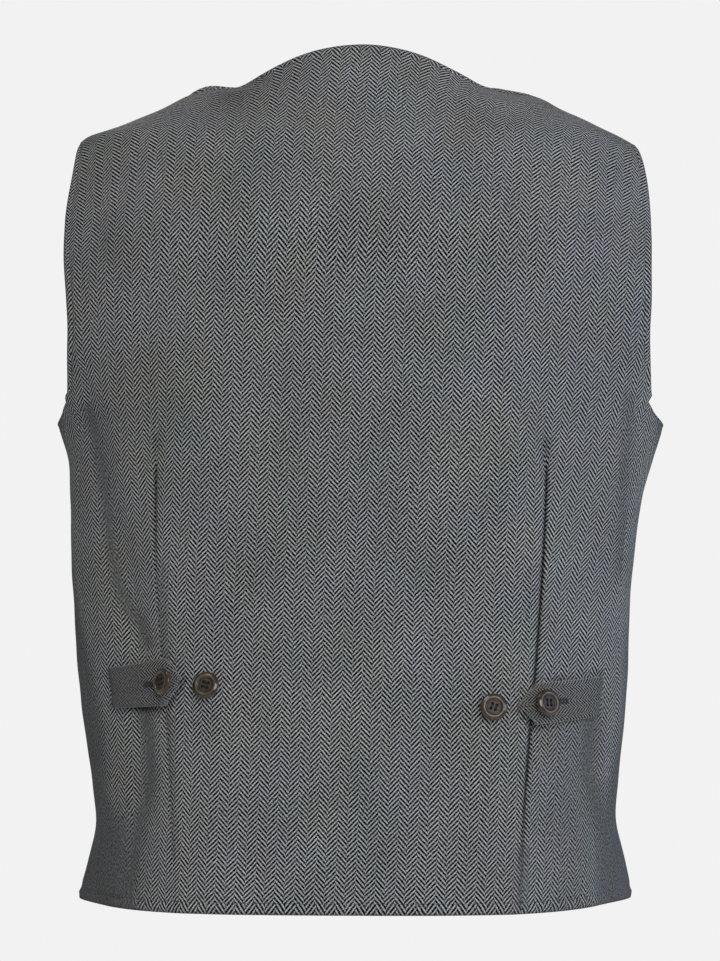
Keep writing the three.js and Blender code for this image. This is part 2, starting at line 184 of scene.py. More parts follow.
# Point of the bare form. turn is 0 at the middle of the back, 90 at the side and 180 at the front, and it
# is below zero on the wearer's right.
def ringPoint(level, turn):
    level, turn = np.broadcast_arrays(np.asarray(level, float), np.asarray(turn, float))
    side = np.where(turn < 0, -1.0, 1.0)
    away = np.abs(turn)
    atFront = away > 90
    sine, cosine = np.sin(np.radians(away)), np.cos(np.radians(away))
    square = np.where(atFront, read(figure, "squareFront", level), read(figure, "squareBack", level))
    depth = np.where(atFront, read(figure, "front", level), read(figure, "back", level))
    out = np.sign(sine) * np.abs(sine) ** (2 / square)
    lobe = read(figure, "lobe", level) * smooth(away, 64, 96) * (1 - smooth(away, 105, 150))
    rise = np.where(side > 0, read(figure, "riseLeft", level), read(figure, "riseRight", level))
    dip = read(figure, "dip", level) * dipPeak * cosine * sine**2
    backDrop = -rise * np.maximum(cosine, 0) ** riseCurve - dip
    drop = np.where(atFront, read(figure, "fall", level) * cosine, backDrop)
    x = side * (out * bySide(figure, side, level) + lobe) + read(figure, "lean", level)
    return np.stack([x, depth * cosine, level + rise + drop], axis=-1)


def ringNormal(level, turn):
    step = 1.5
    up = ringPoint(level + step, turn) - ringPoint(level - step, turn)
    around = ringPoint(level, turn + step) - ringPoint(level, turn - step)
    normal = np.cross(up, around)
    return normal / np.linalg.norm(normal, axis=-1, keepdims=True)


# Turn at which the form is a given distance from its middle, on its back or its front.
def turnAt(level, x, atFront=False):
    side = np.where(x < 0, -1.0, 1.0)
    square = read(figure, "squareFront" if atFront else "squareBack", level)
    share = np.minimum(np.abs(x) / bySide(figure, side, level), 1)
    angle = np.degrees(np.arcsin(share ** (square / 2)))
    return side * (180 - angle if atFront else angle)


# The same for the back, where x is counted from the middle plane.
def turnOnBack(level, x):
    return turnAt(level, x - read(figure, "lean", level))


def seamTurn(level):
    return np.degrees(np.arccos(garment["seamBehindSide"] / read(figure, "back", level)))


# Each row of a front starts on its armhole edge, at a level and a turn from the back, and runs down to a
# lower level on the neckline or the closing edge. The last row is the shoulder seam.
frontArmhole = table("level turn inner", [
    [-226, 70.3, -335],
    [-234, 79, -322],
    [-240.5, 90, -308],
    [-242, 98, -292],
    [-237.5, 107, -271],
    [-224, 116, -252],
    [-204, 126, -232],
    [-167, 135.5, -195],
    [-130, 139, -152],
    [-95, 137.5, -108],
    [-70, 131, -72],
    [-52, 119, -38],
    [-43, 104, -8],
    [-40, 90, 22.6],
])

# Neckline of a front: how far its edge is from the middle. Below zero it has passed the middle.
neckline = table("level out", [
    [-579, -15],
    [-350, -15],
    [-335, -13],
    [-308, -3],
    [-268, 13],
    [-195, 35],
    [-108, 58.5],
    [-38, 73],
    [-8, 78],
    [22.6, 80],
])


# Soft troughs (below zero) and ridges that pressing and wear have left, from one end to the other.
def foldTable(rows):
    names = "fromX fromLevel toX toLevel width height".split()
    return [dict(zip(names, row)) for row in rows]


folds = {
    "back": foldTable([
        [188, -222, 169, -322, 10, -3.6],
        [169, -322, 147, -404, 10, -4.0],
        [148, -447, 146, -508, 9, -3.2],
        [147, -508, 157, -560, 12, -3.0],
        [-161, -452, -161, -500, 11, -3.2],
        [-163, -500, -177, -566, 12, -3.4],
        [73, -443, 46, -480, 9, -1.6],
        [98, -530, 62, -551, 9, -1.7],
        [-103, -185, -106, -283, 12, 1.6],
        [-96, -214, -130, -262, 9, -1.8],
        [40, -60, 78, -20, 14, -1.4],
    ]),
    "left": foldTable([
        [176, -262, 128, -330, 14, -2.4],
        [150, -470, 118, -560, 16, 2.2],
        [60, -520, 84, -575, 12, -1.6],
    ]),
    "right": foldTable([
        [-180, -262, -120, -350, 13, -2.6],
        [-142, -455, -120, -565, 17, 2],
        [-66, -505, -80, -575, 12, -1.8],
    ]),
}

# Finer dents and ripples on top of the folds.
ripples = {
    "back": foldTable([
        [137.5, -244, 136, -268, 3.4, -1.3],  # pucker above the left dart
        [142, -252, 139, -272, 3, 0.6],
        [-128, -256, -131, -273, 3.2, -1.5],  # pucker above the right dart
        [-122, -250, -127, -270, 3, 0.7],
        [-118, -296, -124, -304, 3, -0.8],
        [-146, -344, -150, -362, 6, -0.7],
        [188, -80, 176, -128, 7, -1.1],
        [-186, -92, -176, -150, 8, -1.0],
        [-48, -52, -84, -34, 5, -1.0],
        [30, -38, 64, -18, 6, -0.9],
        [18, -236, 30, -252, 7, -0.6],
        [-20, -562, -60, -556, 8, -0.6],
        [178, -545, 184, -572, 7, 1.0],
        [168, -442, 133, -438.5, 2.2, -1.8],  # drawn in under the half belts
        [131, -437, 119, -423, 2, -1.4],
        [-165, -448, -124, -451.5, 2.2, -1.6],
        [-168, -416, -126, -420, 2.2, -1.1],
        [-119, -449, -110, -438, 2, -1.0],
        [-176, -540, -182, -570, 7, 1.1],
    ]),
    "left": foldTable([
        [188, -238, 150, -270, 5, -1.0],
        [96, -196, 70, -262, 9, -1.0],
        [20, -360, 46, -372, 6, -0.7],
        [18, -420, 40, -436, 6, -0.6],
        [30, -486, 14, -500, 6, -0.8],
    ]),
    "right": foldTable([
        [-190, -240, -150, -276, 5, -1.1],
        [-92, -190, -66, -256, 9, -1.1],
        [-26, -388, -52, -404, 6, -0.7],
        [-30, -454, -54, -462, 6, -0.6],
    ]),
}


# Along a fold and down the sides the herringbone blurs into one grey, darker than the weave: partly
# rubbed nap, and partly painted shade in the folds' troughs and on the sides that turn away. Each line
# has its points, its width and how far the lines are lost.
rubbed = {
    "back": [
        ([(189, -232), (184, -252), (178, -277), (175, -302), (172, -329), (166.5, -355), (159, -371),
          (151, -379), (144.5, -394)], 5, 0.9),
        ([(147.5, -438), (143.5, -465), (142.5, -487), (146, -506), (151, -519), (155, -540), (158, -575)],
         6, 0.95),
        ([(170, -528), (172, -580)], 17, 1.0),
        ([(-163, -440), (-160, -484), (-166, -503), (-171, -520), (-178, -545), (-184, -580)], 8.5, 0.95),
        ([(-190, -225), (-186, -281), (-185, -345)], 4.5, 0.6),
        ([(134, -338), (131, -400)], 3.5, 0.45),
        ([(128, -447), (125, -540)], 3, 0.4),
        ([(-116, -535), (-114, -572)], 5, 0.6),
        ([(-148, -462), (-150, -575)], 24, 0.35),
        ([(84, 16), (88, -10)], 13, 0.5),
        ([(-96, 14), (-150, -8), (-196, -42)], 13, 0.4),
        ([(100, 12), (150, -8), (196, -40)], 10, 0.35),
    ],
    "left": [([(176, -262), (128, -330)], 8, 0.6)],
    "right": [([(-180, -262), (-120, -350)], 8, 0.6)],
}
# Painted shade down the sides that turn away: distance from the middle at which the side strip starts
# to blur into the darker grey, and how the strip fades in and out.
sideShade = {"lost": 0.9, "before": 4, "after": 7, "depth": (-26, -4)}
sideShadeFrom = table("level left right", [
    [-579, 150, -166],
    [-539, 156, -165],
    [-504, 172, -172],
    [-457, 177, -184],
    [-409, 187, -187],
    [-373, 197, -192],
    [-337, 204, -199],
    [-290, 208, -206],
    [-226, 213, -212],
    [22.6, 240, -240],
])


def besideLines(lines, x, level):
    most = np.zeros(np.shape(x))
    for points, width, amount in lines:
        for (fromX, fromLevel), (toX, toLevel) in zip(points[:-1], points[1:]):
            runX, runLevel = toX - fromX, toLevel - fromLevel
            hereX, hereLevel = x - fromX, level - fromLevel
            along = np.clip((hereX * runX + hereLevel * runLevel) / (runX**2 + runLevel**2), 0, 1)
            away = np.hypot(hereX - along * runX, hereLevel - along * runLevel)
            most = np.maximum(most, amount * bell(away, width))
    return most


# Share of the weave turned to the flat grey: rubbed nap along the folds, and painted shade in their troughs
# and on the turned-away sides.
def napWearAndShade(part, x, y, level):
    lost = besideLines(rubbed[part], x, level)
    start = np.abs(bySide(sideShadeFrom, x, level))
    strip = smooth(np.abs(x), start - sideShade["before"], start + sideShade["after"])
    return np.maximum(lost, sideShade["lost"] * strip * smooth(y, *sideShade["depth"]))


def foldHeight(rows, x, level):
    height = np.zeros(np.shape(x))
    for fold in rows:
        runX, runLevel = fold["toX"] - fold["fromX"], fold["toLevel"] - fold["fromLevel"]
        hereX, hereLevel = x - fold["fromX"], level - fold["fromLevel"]
        length = math.hypot(runX, runLevel)
        along = (hereX * runX + hereLevel * runLevel) / length**2
        across = (hereX * runLevel - hereLevel * runX) / length
        fade = smooth(along, -0.3, 0.2) * (1 - smooth(along, 0.8, 1.3))
        height += fold["height"] * fade * bell(across, fold["width"])
    return height


# Cloth that has hung and been pressed is never quite even: long shallow waves, the same on each run.
waves = {"count": 9, "length": (28, 85), "height": 0.11, "seeds": {"back": 11, "left": 23, "right": 37}}


def unevenness(part, x, level):
    draws = np.random.default_rng(waves["seeds"][part])
    height = np.zeros(np.shape(x))
    for i in range(waves["count"]):
        length = draws.uniform(*waves["length"])
        heading = draws.uniform(-0.5, 0.5) if i % 2 else draws.uniform(0, math.pi)
        phase = draws.uniform(0, 2 * math.pi)
        run = (x * math.cos(heading) + level * math.sin(heading)) / length
        height += waves["height"] * np.sin(2 * math.pi * run + phase)
    return height


# The darts are sewn folds: a ridge with the seam sunk into it, and at the wearer's right the middle
# cloth stands over the seam.
dartShape = {
    "ridge": 3.5,
    "ridgeReach": 30.0,
    "sinkReach": 1.6,
    "pad": 0.7,  # swelling of the seam's turnings under the cloth
    "padAt": 6.0,
    "padWidth": 4.5,
    "padLeft": 0.5,  # the left dart's turnings swell half as much
    "sewnFrom": -262.0,
    "sewnBy": -292.0,
}


# How deep each dart's seam is pulled in: the wearer's right one is sharp nearly to the hem.
dartSeam = table("level left right", [
    [-579, 0.5, 0.6],
    [-552, 0.5, 0.8],
    [-515, 0.7, 1.9],
    [-440, 0.8, 2.4],
    [-370, 0.8, 2.4],
    [-345, 0.9, 2.4],
    [-325, 1.3, 2.4],
    [-296, 1.9, 2.4],
    [-274, 1.8, 2.1],
    [-264, 0, 0],
    [22.6, 0, 0],
])


def dartOffset(x, level):
    left, right = read(darts, "left", level), read(darts, "right", level)
    return np.where(x > 0, x - left, right - x)


def dartHeight(x, level, sewn=True):
    off = dartOffset(x, level)
    height = read(darts, "depth", level) * dartShape["ridge"] * np.exp(-np.abs(off) / dartShape["ridgeReach"])
    if not sewn:
        return height
    closed = 1 - smooth(level, dartShape["sewnBy"], dartShape["sewnFrom"])
    sunk = bySide(dartSeam, x, level) * np.exp(-np.abs(off) / dartShape["sinkReach"])
    pad = dartShape["pad"] * bell(off + dartShape["padAt"], dartShape["padWidth"])
    pad = pad * np.where(x > 0, dartShape["padLeft"], 1)
    return height + closed * pad - sunk


def backHeight(x, level, sewn=True):
    height = foldHeight(folds["back"], x, level) + dartHeight(x, level, sewn)
    return height + foldHeight(ripples["back"], x, level) + unevenness("back", x, level)


def backPoint(level, turn, out=0.0, sewn=True):
    point = ringPoint(level, turn)
    height = backHeight(point[..., 0], level, sewn)
    return point + ringNormal(level, turn) * (height + out)[..., None]


# A front lies level with the back beside their seam, and takes its own folds further on.
def frontPoint(part, level, turn, out=0.0):
    point = ringPoint(level, turn)
    x = point[..., 0]
    height = foldHeight(folds[part], x, level) + foldHeight(ripples[part], x, level)
    height += unevenness(part, x, level)
    edge = np.where(level > garment["tipFrom"], 90, seamTurn(level))
    own = smooth(np.abs(turn) - edge, 0, garment["sharedTurn"])
    height = height * own + backHeight(x, level) * (1 - own)
    return point + ringNormal(level, turn) * (height + out)[..., None]


# Lengths along the cloth, so that the weave lies on it as on the cut pieces. across is measured round each
# ring from the middle of the back or of the front, and along is measured up the cloth from the waist.
clothMap = {
    "levels": np.linspace(-579, 22.6, 302),
    "quarter": 70,  # columns in a quarter of the ring
    "pastFront": 2.4,  # quarters that each side covers
    "closer": 1.55,
    "waist": -420.0,
    "uprightAtFront": (-210, -80),
    "uprightAtBack": (-100, -10),
    "upper": (-150, -70),
    "overShoulder": 0.6,
}


# Columns lie close together in the middle of the back and of the front, where a small turn is a long way.
def columnTurn(column):
    quarters = column / clothMap["quarter"]
    inBack = 90 * np.clip(quarters, 0, 1) ** clothMap["closer"]
    inFront = 90 - 90 * np.clip(2 - quarters, 0, 1) ** clothMap["closer"]
    past = 90 * np.clip(quarters - 2, 0, 1) ** clothMap["closer"]
    return inBack + np.where(quarters > 1, inFront, 0) + past


def turnColumn(turn):
    inBack = np.clip(turn / 90, 0, 1) ** (1 / clothMap["closer"])
    inFront = 1 - np.clip((180 - turn) / 90, 0, 1) ** (1 / clothMap["closer"])
    past = np.clip((turn - 180) / 90, 0, 1) ** (1 / clothMap["closer"])
    return clothMap["quarter"] * (inBack + np.where(turn > 90, inFront, 0) + past)


def makeClothMap(side, atFront):
    levels = clothMap["levels"]
    turns = columnTurn(np.arange(int(clothMap["pastFront"] * clothMap["quarter"])))
    grid = ringPoint(levels[:, None], side * turns[None, :])
    x = grid[..., 0]
    if atFront:
        height = foldHeight(folds["left" if side > 0 else "right"], x, levels[:, None])
    else:
        height = foldHeight(folds["back"], x, levels[:, None]) + dartHeight(x, levels[:, None], False)
    grid = grid + ringNormal(levels[:, None], side * turns[None, :]) * height[..., None]
    steps = np.linalg.norm(np.diff(grid, axis=1), axis=-1)
    across = np.concatenate([np.zeros((len(levels), 1)), np.cumsum(steps, axis=1)], axis=1)
    if atFront:
        across = across[:, [2 * clothMap["quarter"]]] - across
    # towards the shoulders the rings slope, and the cloth's threads run straight up it
    middle = x[:, [2 * clothMap["quarter"] if atFront else 0]]
    upright = smooth(levels, *clothMap["uprightAtFront" if atFront else "uprightAtBack"])[:, None]
    across = across + (side * (x - middle) - across) * upright
    moved = np.linalg.norm(np.diff(grid, axis=0), axis=-1)
    sideways = np.diff(across, axis=0)
    rises = np.sqrt(np.maximum(moved**2 - sideways**2, (0.25 * moved) ** 2))
    along = np.concatenate([np.zeros((1, len(turns))), np.cumsum(rises, axis=0)], axis=0)
    waistRow, highRow = np.searchsorted(levels, (clothMap["waist"], clothMap["upper"][0]))
    along -= along[waistRow]
    climb = grid[..., 2] + clothMap["overShoulder"] * grid[..., 1] * (1 if atFront else -1)
    column = clothMap["quarter"] * 3 // 2 if atFront else clothMap["quarter"] // 2
    climb += along[highRow, column] - climb[highRow, column]
    along += (climb - along) * smooth(levels, *clothMap["upper"])[:, None]
    return across, along


clothMaps = {(side, atFront): makeClothMap(side, atFront) for side in (1, -1) for atFront in (False, True)}


def lookUp(values, level, turn):
    levels = clothMap["levels"]
    row = np.clip((level - levels[0]) / (levels[1] - levels[0]), 0, len(levels) - 1.001)
    column = np.clip(turnColumn(turn), 0, values.shape[1] - 1.001)
    r, c = row.astype(int), column.astype(int)
    tr, tc = row - r, column - c
    return mix(mix(values[r, c], values[r, c + 1], tc), mix(values[r + 1, c], values[r + 1, c + 1], tc), tr)


def onCloth(level, turn, atFront=False):
    side, away = np.where(turn < 0, -1, 1), np.abs(turn)
    left, right = clothMaps[1, atFront], clothMaps[-1, atFront]
    across = np.where(side > 0, lookUp(left[0], level, away), lookUp(right[0], level, away))
    along = np.where(side > 0, lookUp(left[1], level, away), lookUp(right[1], level, away))
    return side * across, along


# Where the cloth's middle thread runs, from the middle of the form, and what the darts have taken in:
# eased into the cloth above the tip, or sewn away.
grain = table("level shift eased sewn", [
    [-579, 11, 6, 22],
    [-541, 9.8, 6, 22],
    [-460, 5.8, 6, 22],
    [-405, 3.2, 6, 20.5],
    [-350, 1.4, 6, 14.5],
    [-322, 0.9, 6, 10],
    [-295, 1.5, 6, 6],
    [-264, 2.7, 6, 1],
    [-240, 2.8, 5.5, 0],
    [-213, 1.8, 3.5, 0],
    [-158, 0, 1.8, 0],
    [-131, -1.3, 0.5, 0],
    [-75, -4.4, 0, 0],
    [-18, -7.3, 0, 0],
    [22.6, -9, 0, 0],
])
print("form and cloth lengths ready")


def newObject(name, data):
    made = bpy.data.objects.new(name, data)
    bpy.context.scene.collection.objects.link(made)
    return made


def meshFrom(bm, name):
    mesh = bpy.data.meshes.new(name)
    bm.to_mesh(mesh)
    bm.free()
    return mesh


# The mesh that an object comes to with its modifiers or its bevel, in place of the object.
def finalMesh(source):
    bpy.context.view_layer.update()
    mesh = bpy.data.meshes.new_from_object(source.evaluated_get(bpy.context.evaluated_depsgraph_get()))
    bpy.data.objects.remove(source)
    return mesh


def modify(piece, name, kind, **settings):
    made = piece.modifiers.new(name, kind)
    for key, value in settings.items():
        setattr(made, key, value)


sharpOnly = {"limit_method": "ANGLE", "angle_limit": math.radians(50)}
farAway = 60  # stands for a distance from an edge that doesn't count


# A piece of cloth starts as a grid. place gives its points in millimetres from shares across and along
# the piece, finish gives how far the turned and stitched edges lift or sink it, and weave gives the
# place of each face corner on the cut cloth.
def clothPiece(name, columns, rows, place, finish, weave, wall, bevel=0.2):
    bm = bmesh.new()
    bm.loops.layers.uv.new("Cloth")
    bmesh.ops.create_grid(bm, x_segments=columns, y_segments=rows, size=0.5, calc_uvs=True)
    mesh = meshFrom(bm, name)
    flat = np.empty(len(mesh.vertices) * 3)
    mesh.vertices.foreach_get("co", flat)
    share = flat.reshape(-1, 3)[:, :2] + 0.5
    corners = np.empty(len(mesh.loops), dtype=int)
    mesh.loops.foreach_get("vertex_index", corners)
    middles = share[corners].reshape(-1, 4, 2).mean(axis=1).repeat(4, axis=0)
    u, v = share[:, 0], share[:, 1]
    out, fields = finish(u, v, place(u, v, np.zeros(len(u))))
    points = place(u, v, out)
    across, along = weave(share[corners, 0], share[corners, 1], middles[:, 0], middles[:, 1])
    mesh.vertices.foreach_set("co", (points * mm).ravel())
    mesh.uv_layers["Cloth"].data.foreach_set("uv", np.stack([across, along], axis=-1).ravel())
    for key in ("edge", "sunk", "rubbed"):
        layer = mesh.attributes.new(key, "FLOAT", "POINT")
        layer.data.foreach_set("value", np.clip(fields[key], 0, farAway).astype(np.float32))
    mesh.update()
    face = mesh.polygons[len(mesh.polygons) // 2]
    if face.normal.x * face.center.x + face.normal.y * face.center.y < 0:
        mesh.flip_normals()
    mesh.shade_smooth()
    piece = newObject(name, mesh)
    modify(piece, "wall", "SOLIDIFY", thickness=wall * mm, offset=-1, use_quality_normals=True)
    modify(piece, "turned edge", "BEVEL", width=bevel * mm, segments=3, **sharpOnly)
    return piece


# Rows or columns close up towards both ends of a stretch.
def crowd(share, amount):
    return share - amount * np.sin(2 * math.pi * share) / (2 * math.pi)


# An edge is turned in and stitched down: it rolls inwards, swells and sinks at the stitches. share is
# the distance from the edge, and 1 on the stitches.
edgeShape = {
    "armhole": 6.4,
    "neck": 6.4,
    "hem": 8.0,
    "roll": 0.9,
    "rolled": 0.42,  # share at which the roll has ended and the swelling is highest
    "swell": 0.35,
    "swellFalls": (0.7, 0.95),  # shares between which it goes down again
    "sink": 0.55,
    "sinkWidth": 0.16,
}
# Beside a seam the cloth sinks to the thread and swells over its turnings.
seamShape = {"sink": 0.15, "sinkWidth": 1.6, "swell": 0.2, "swellAt": 6, "swellWidth": 3.5}


def edgeHeight(share):
    rolled = smooth(share, 0, edgeShape["rolled"])
    swell = edgeShape["swell"] * rolled * (1 - smooth(share, *edgeShape["swellFalls"]))
    sink = edgeShape["sink"] * bell(share - 1, edgeShape["sinkWidth"])
    return swell - edgeShape["roll"] * (1 - rolled) - sink


def seamHeight(distance):
    swell = seamShape["swell"] * bell(distance - seamShape["swellAt"], seamShape["swellWidth"])
    return swell - seamShape["sink"] * bell(distance, seamShape["sinkWidth"])


# The back. Its columns close up beside the darts, and each stretch between two stops has its own rows.
back = {"sideColumns": 46, "middleColumns": 88, "sideCrowd": 0.66, "middleCrowd": 0.7, "easedOver": 28}
backStops = np.array([-579, -565, -226, -219, -64, -40, 8, 22.6])
backRows = np.array([11, 84, 3, 42, 10, 34, 13])
backColumns = 2 * back["sideColumns"] + back["middleColumns"]
stopShares = np.concatenate([[0], np.cumsum(backRows)]) / backRows.sum()


def backLevel(v):
    return np.interp(v, stopShares, backStops)


def backEdge(level, side):
    seam = seamTurn(level)
    arm = np.abs(turnAt(level, side * bySide(backArmhole, side, level)))
    reach = np.where(level <= garment["seamTop"], seam, arm)
    turned = (level > garment["seamTop"]) & (level < garment["armholeFrom"])
    corner = mix(seam, arm, smooth(level, garment["seamTop"], garment["armholeFrom"]))
    reach = np.where(turned, corner, reach)
    shoulder = smooth(level, garment["tipFrom"], garment["tipLevel"])
    return side * np.where(level > garment["tipFrom"], mix(reach, 90, shoulder), reach)


def backTurn(u, v):
    level = backLevel(v)
    sideShare = back["sideColumns"] / backColumns
    side = np.where(u < 0.5, 1.0, -1.0)
    fromEdge = np.minimum(u, 1 - u) / sideShare
    dart = turnOnBack(level, bySide(darts, side, level))
    outer = crowd(1 - np.clip(fromEdge, 0, 1), back["sideCrowd"])
    sideTurn = mix(dart, backEdge(level, side), outer)
    left, right = read(darts, "left", level), read(darts, "right", level)
    inner = crowd(np.clip((u - sideShare) / (1 - 2 * sideShare), 0, 1), back["middleCrowd"])
    middleTurn = turnOnBack(level, mix(left, right, inner))
    return level, np.where(fromEdge <= 1, sideTurn, middleTurn)


def alongAt(levelName, turn):
    return onCloth(np.full(np.shape(turn), garment[levelName]), turn)[1]


def backPlace(u, v, out):
    level, turn = backTurn(u, v)
    point = backPoint(level, turn, out)
    atSeam = (np.minimum(u, 1 - u) < 1e-6) & ((level <= garment["seamTop"]) | (level >= garment["tipLevel"]))
    return point - atSeam[..., None] * np.array([0.0, garment["seamLap"], 0.0])


# Painted shade in the dimples where the cloth is pulled in above each dart: where they are and how dark.
pulledIn = {"spots": [(138, -256, 0.4), (-131.5, -260, 0.5)], "width": 3.2, "length": 9}
# Painted shade along each dart's seam line: how wide it is, and the seam depth at which it is fullest.
dartDark = {"width": 1.2, "fullAt": 2.4}  # the seam line is darkest where it's sunk this deep
# Painted shadow: the back is darkened in lines along the half belts' edges, where they cast shade on it.
tabShadowLines = [
    ([(169, -441.8), (130, -438.4)], 1.5, 0.85),
    ([(130, -438.4), (117.8, -418.6)], 1.3, 0.7),
    ([(130, -402.5), (119, -415.5)], 1.3, 0.4),
    ([(-121.5, -451.4), (-150, -449.2)], 1.5, 0.7),
    ([(-110.5, -437.5), (-121.5, -451.4)], 1.3, 0.7),
    ([(-136, -419), (-171, -416.6)], 1.5, 0.65),
]


def backFinish(u, v, points):
    level, turn = backTurn(u, v)
    along = onCloth(level, turn)[1]
    hem = (along - alongAt("hemLevel", turn)) / edgeShape["hem"]
    neck = (alongAt("neckLevel", turn) - along) / edgeShape["neck"]
    edge = backPlace(np.where(u < 0.5, 0.0, 1.0), v, np.zeros(len(u)))
    gap = apart(points, edge)
    belowTip = 1 - smooth(level, garment["tipFrom"], garment["tipLevel"])
    atArmhole = smooth(level, garment["seamTop"], garment["armholeFrom"]) * belowTip
    armhole = gap / edgeShape["armhole"] + farAway * (1 - atArmhole)
    share = np.minimum(np.minimum(hem, neck), armhole)
    out = edgeHeight(share) + (1 - atArmhole) * seamHeight(gap)
    # sunk is painted shade: along the dart seams, in the puckers above them and along the half belts' edges.
    off = np.abs(dartOffset(points[:, 0], level))
    depth = np.clip(bySide(dartSeam, points[:, 0], level) / dartDark["fullAt"], 0, 1)
    sunk = np.maximum(bell(off, dartDark["width"]) * depth, besideLines(tabShadowLines, points[:, 0], level))
    for x, middle, amount in pulledIn["spots"]:
        spot = bell(points[:, 0] - x, pulledIn["width"]) * bell(level - middle, pulledIn["length"])
        sunk = np.maximum(sunk, amount * spot)
    fields = {"edge": share, "hem": hem, "neck": neck, "armhole": armhole, "sunk": sunk}
    return out, fields | {"rubbed": napWearAndShade("back", points[:, 0], points[:, 1], level)}


# The turned hem and neck show the weave moved on a little, and the hem's is pulled longer.
turnedWeave = {"hem": (1.7, 1.9), "neck": (-1.2, 1.5), "hemPull": 0.78}


def bandWeave(across, along, middleAlong, hemLine, neckLine):
    inHem, inNeck = middleAlong < hemLine, middleAlong > neckLine
    (hemAcross, hemAlong), (neckAcross, neckAlong) = turnedWeave["hem"], turnedWeave["neck"]
    longer = hemLine + (along - hemLine) * turnedWeave["hemPull"] + hemAlong
    along = np.where(inHem, longer, np.where(inNeck, along + neckAlong, along))
    return np.where(inHem, across + hemAcross, np.where(inNeck, across + neckAcross, across)), along


def backWeave(u, v, middleU, middleV):
    level, turn = backTurn(u, v)
    across, along = onCloth(level, turn)
    side = np.where(middleU < 0.5, 1.0, -1.0)
    outside = np.minimum(middleU, 1 - middleU) < back["sideColumns"] / backColumns
    off = dartOffset(ringPoint(level, turn)[..., 0], level)
    taken = read(grain, "eased", level) * smooth(off, -back["easedOver"], back["easedOver"])
    taken = taken + np.maximum(read(grain, "sewn", level), 0) * outside
    across = across - read(grain, "shift", level) + side * taken
    middle, middleTurn = backTurn(middleU, middleV)
    hemLine = alongAt("hemLevel", middleTurn) + edgeShape["hem"]
    neckLine = alongAt("neckLevel", middleTurn) - edgeShape["neck"]
    return bandWeave(across, along, onCloth(middle, middleTurn)[1], hemLine, neckLine)


backPiece = clothPiece(
    "back_panel", backColumns, int(backRows.sum()), backPlace, backFinish, backWeave, garment["wall"]
)
print("back made")

# The fronts.
front = {
    "columns": 104,
    "seamRows": 84,
    "armholeRows": 104,
    "side": 1.3,
    "closing": 1.35,
    "fall": 2.0,
    "under": (168.0, 174.0),  # the right front goes under the left between these turns
    "offGrain": 9.0,  # degrees that the cloth leans from the closing edge
}


def alongKnots(values, position):
    last = len(values) - 1
    i = np.clip(position.astype(int), 0, last - 1)
    t = position - i
    before, after = np.maximum(i - 1, 0), np.minimum(i + 2, last)
    a, b = values[i], values[i + 1]
    return curved(t, a, b, (b - values[before]) / 2, (values[after] - a) / 2)


frontRows = front["seamRows"] + front["armholeRows"]
seamShare = front["seamRows"] / frontRows


def frontStart(v):
    t = np.clip(v / seamShare, 0, 1)
    onSeam = v <= seamShare
    seamLevel = mix(garment["hemLevel"], garment["seamTop"], t)
    seamInner = mix(garment["hemLevel"], garment["seamInner"], t)
    last = len(frontArmhole["level"]) - 1
    knot = np.clip((v - seamShare) / (1 - seamShare), 0, 1) * last
    level = np.where(onSeam, seamLevel, alongKnots(frontArmhole["level"], knot))
    turn = np.where(onSeam, seamTurn(seamLevel), alongKnots(frontArmhole["turn"], knot))
    inner = np.where(onSeam, seamInner, alongKnots(frontArmhole["inner"], knot))
    return level, turn, inner, onSeam, smooth(knot, last - 1.0, last)


def innerTurn(level, side):
    out = read(neckline, "out", level)
    turn = np.abs(turnAt(level, side * np.abs(out), True))
    shoulder = smooth(level, garment["neckFrom"], garment["neckLevel"])
    turn = np.where(level > garment["neckFrom"], mix(turn, 90, shoulder), turn)
    return np.where(out < 0, 360 - turn, turn)


def frontTurn(u, v, side):
    startLevel, startTurn, inner, onSeam, shoulder = frontStart(v)
    share = u ** front["side"]
    fan = 1 - (1 - share) ** front["closing"]
    fallen = 1 - (1 - share) ** front["fall"]
    level = mix(startLevel, inner, mix(fallen, u, shoulder))
    turn = mix(startTurn, innerTurn(inner, side), mix(fan, u, shoulder))
    return level, turn, onSeam


def makeFront(name, side):
    part = "left" if side > 0 else "right"

    def place(u, v, out):
        level, turn, onSeam = frontTurn(u, v, side)
        under = garment["layerDrop"] * smooth(turn, *front["under"]) * (side < 0)
        point = frontPoint(part, level, side * turn, out - under)
        atSeam = ((u < 1e-6) & onSeam) | (v > 1 - 1e-6)
        return point + atSeam[..., None] * np.array([0.0, garment["seamLap"], 0.0])

    def finish(u, v, points):
        level, turn, onSeam = frontTurn(u, v, side)
        still = np.zeros(len(u))
        hem = (level - garment["hemLevel"]) / edgeShape["hem"]
        start = apart(points, place(still, v, still))
        end = apart(points, place(still + 1, v, still))
        top = apart(points, place(u, still + 1, still))
        armhole = np.where(onSeam, farAway, start / edgeShape["armhole"])
        share = np.minimum(np.minimum(hem, armhole), end / edgeShape["neck"])
        seam = np.minimum(np.where(onSeam, start, farAway), top)
        out = edgeHeight(share) + seamHeight(seam)
        fields = {"edge": share, "hem": hem, "neck": end / edgeShape["neck"], "armhole": armhole}
        return out, fields | {"sunk": still, "rubbed": napWearAndShade(part, *points.T)}

    def weave(u, v, middleU, middleV):
        level, turn, onSeam = frontTurn(u, v, side)
        across, along = onCloth(level, side * turn, True)
        lean = math.radians(front["offGrain"]) * side
        return (
            across * math.cos(lean) - along * math.sin(lean),
            across * math.sin(lean) + along * math.cos(lean),
        )

    piece = clothPiece(name, front["columns"], frontRows, place, finish, weave, garment["wall"])
    return piece, place, finish


fronts = {"left": makeFront("left_front_panel", 1), "right": makeFront("right_front_panel", -1)}
print("fronts made")

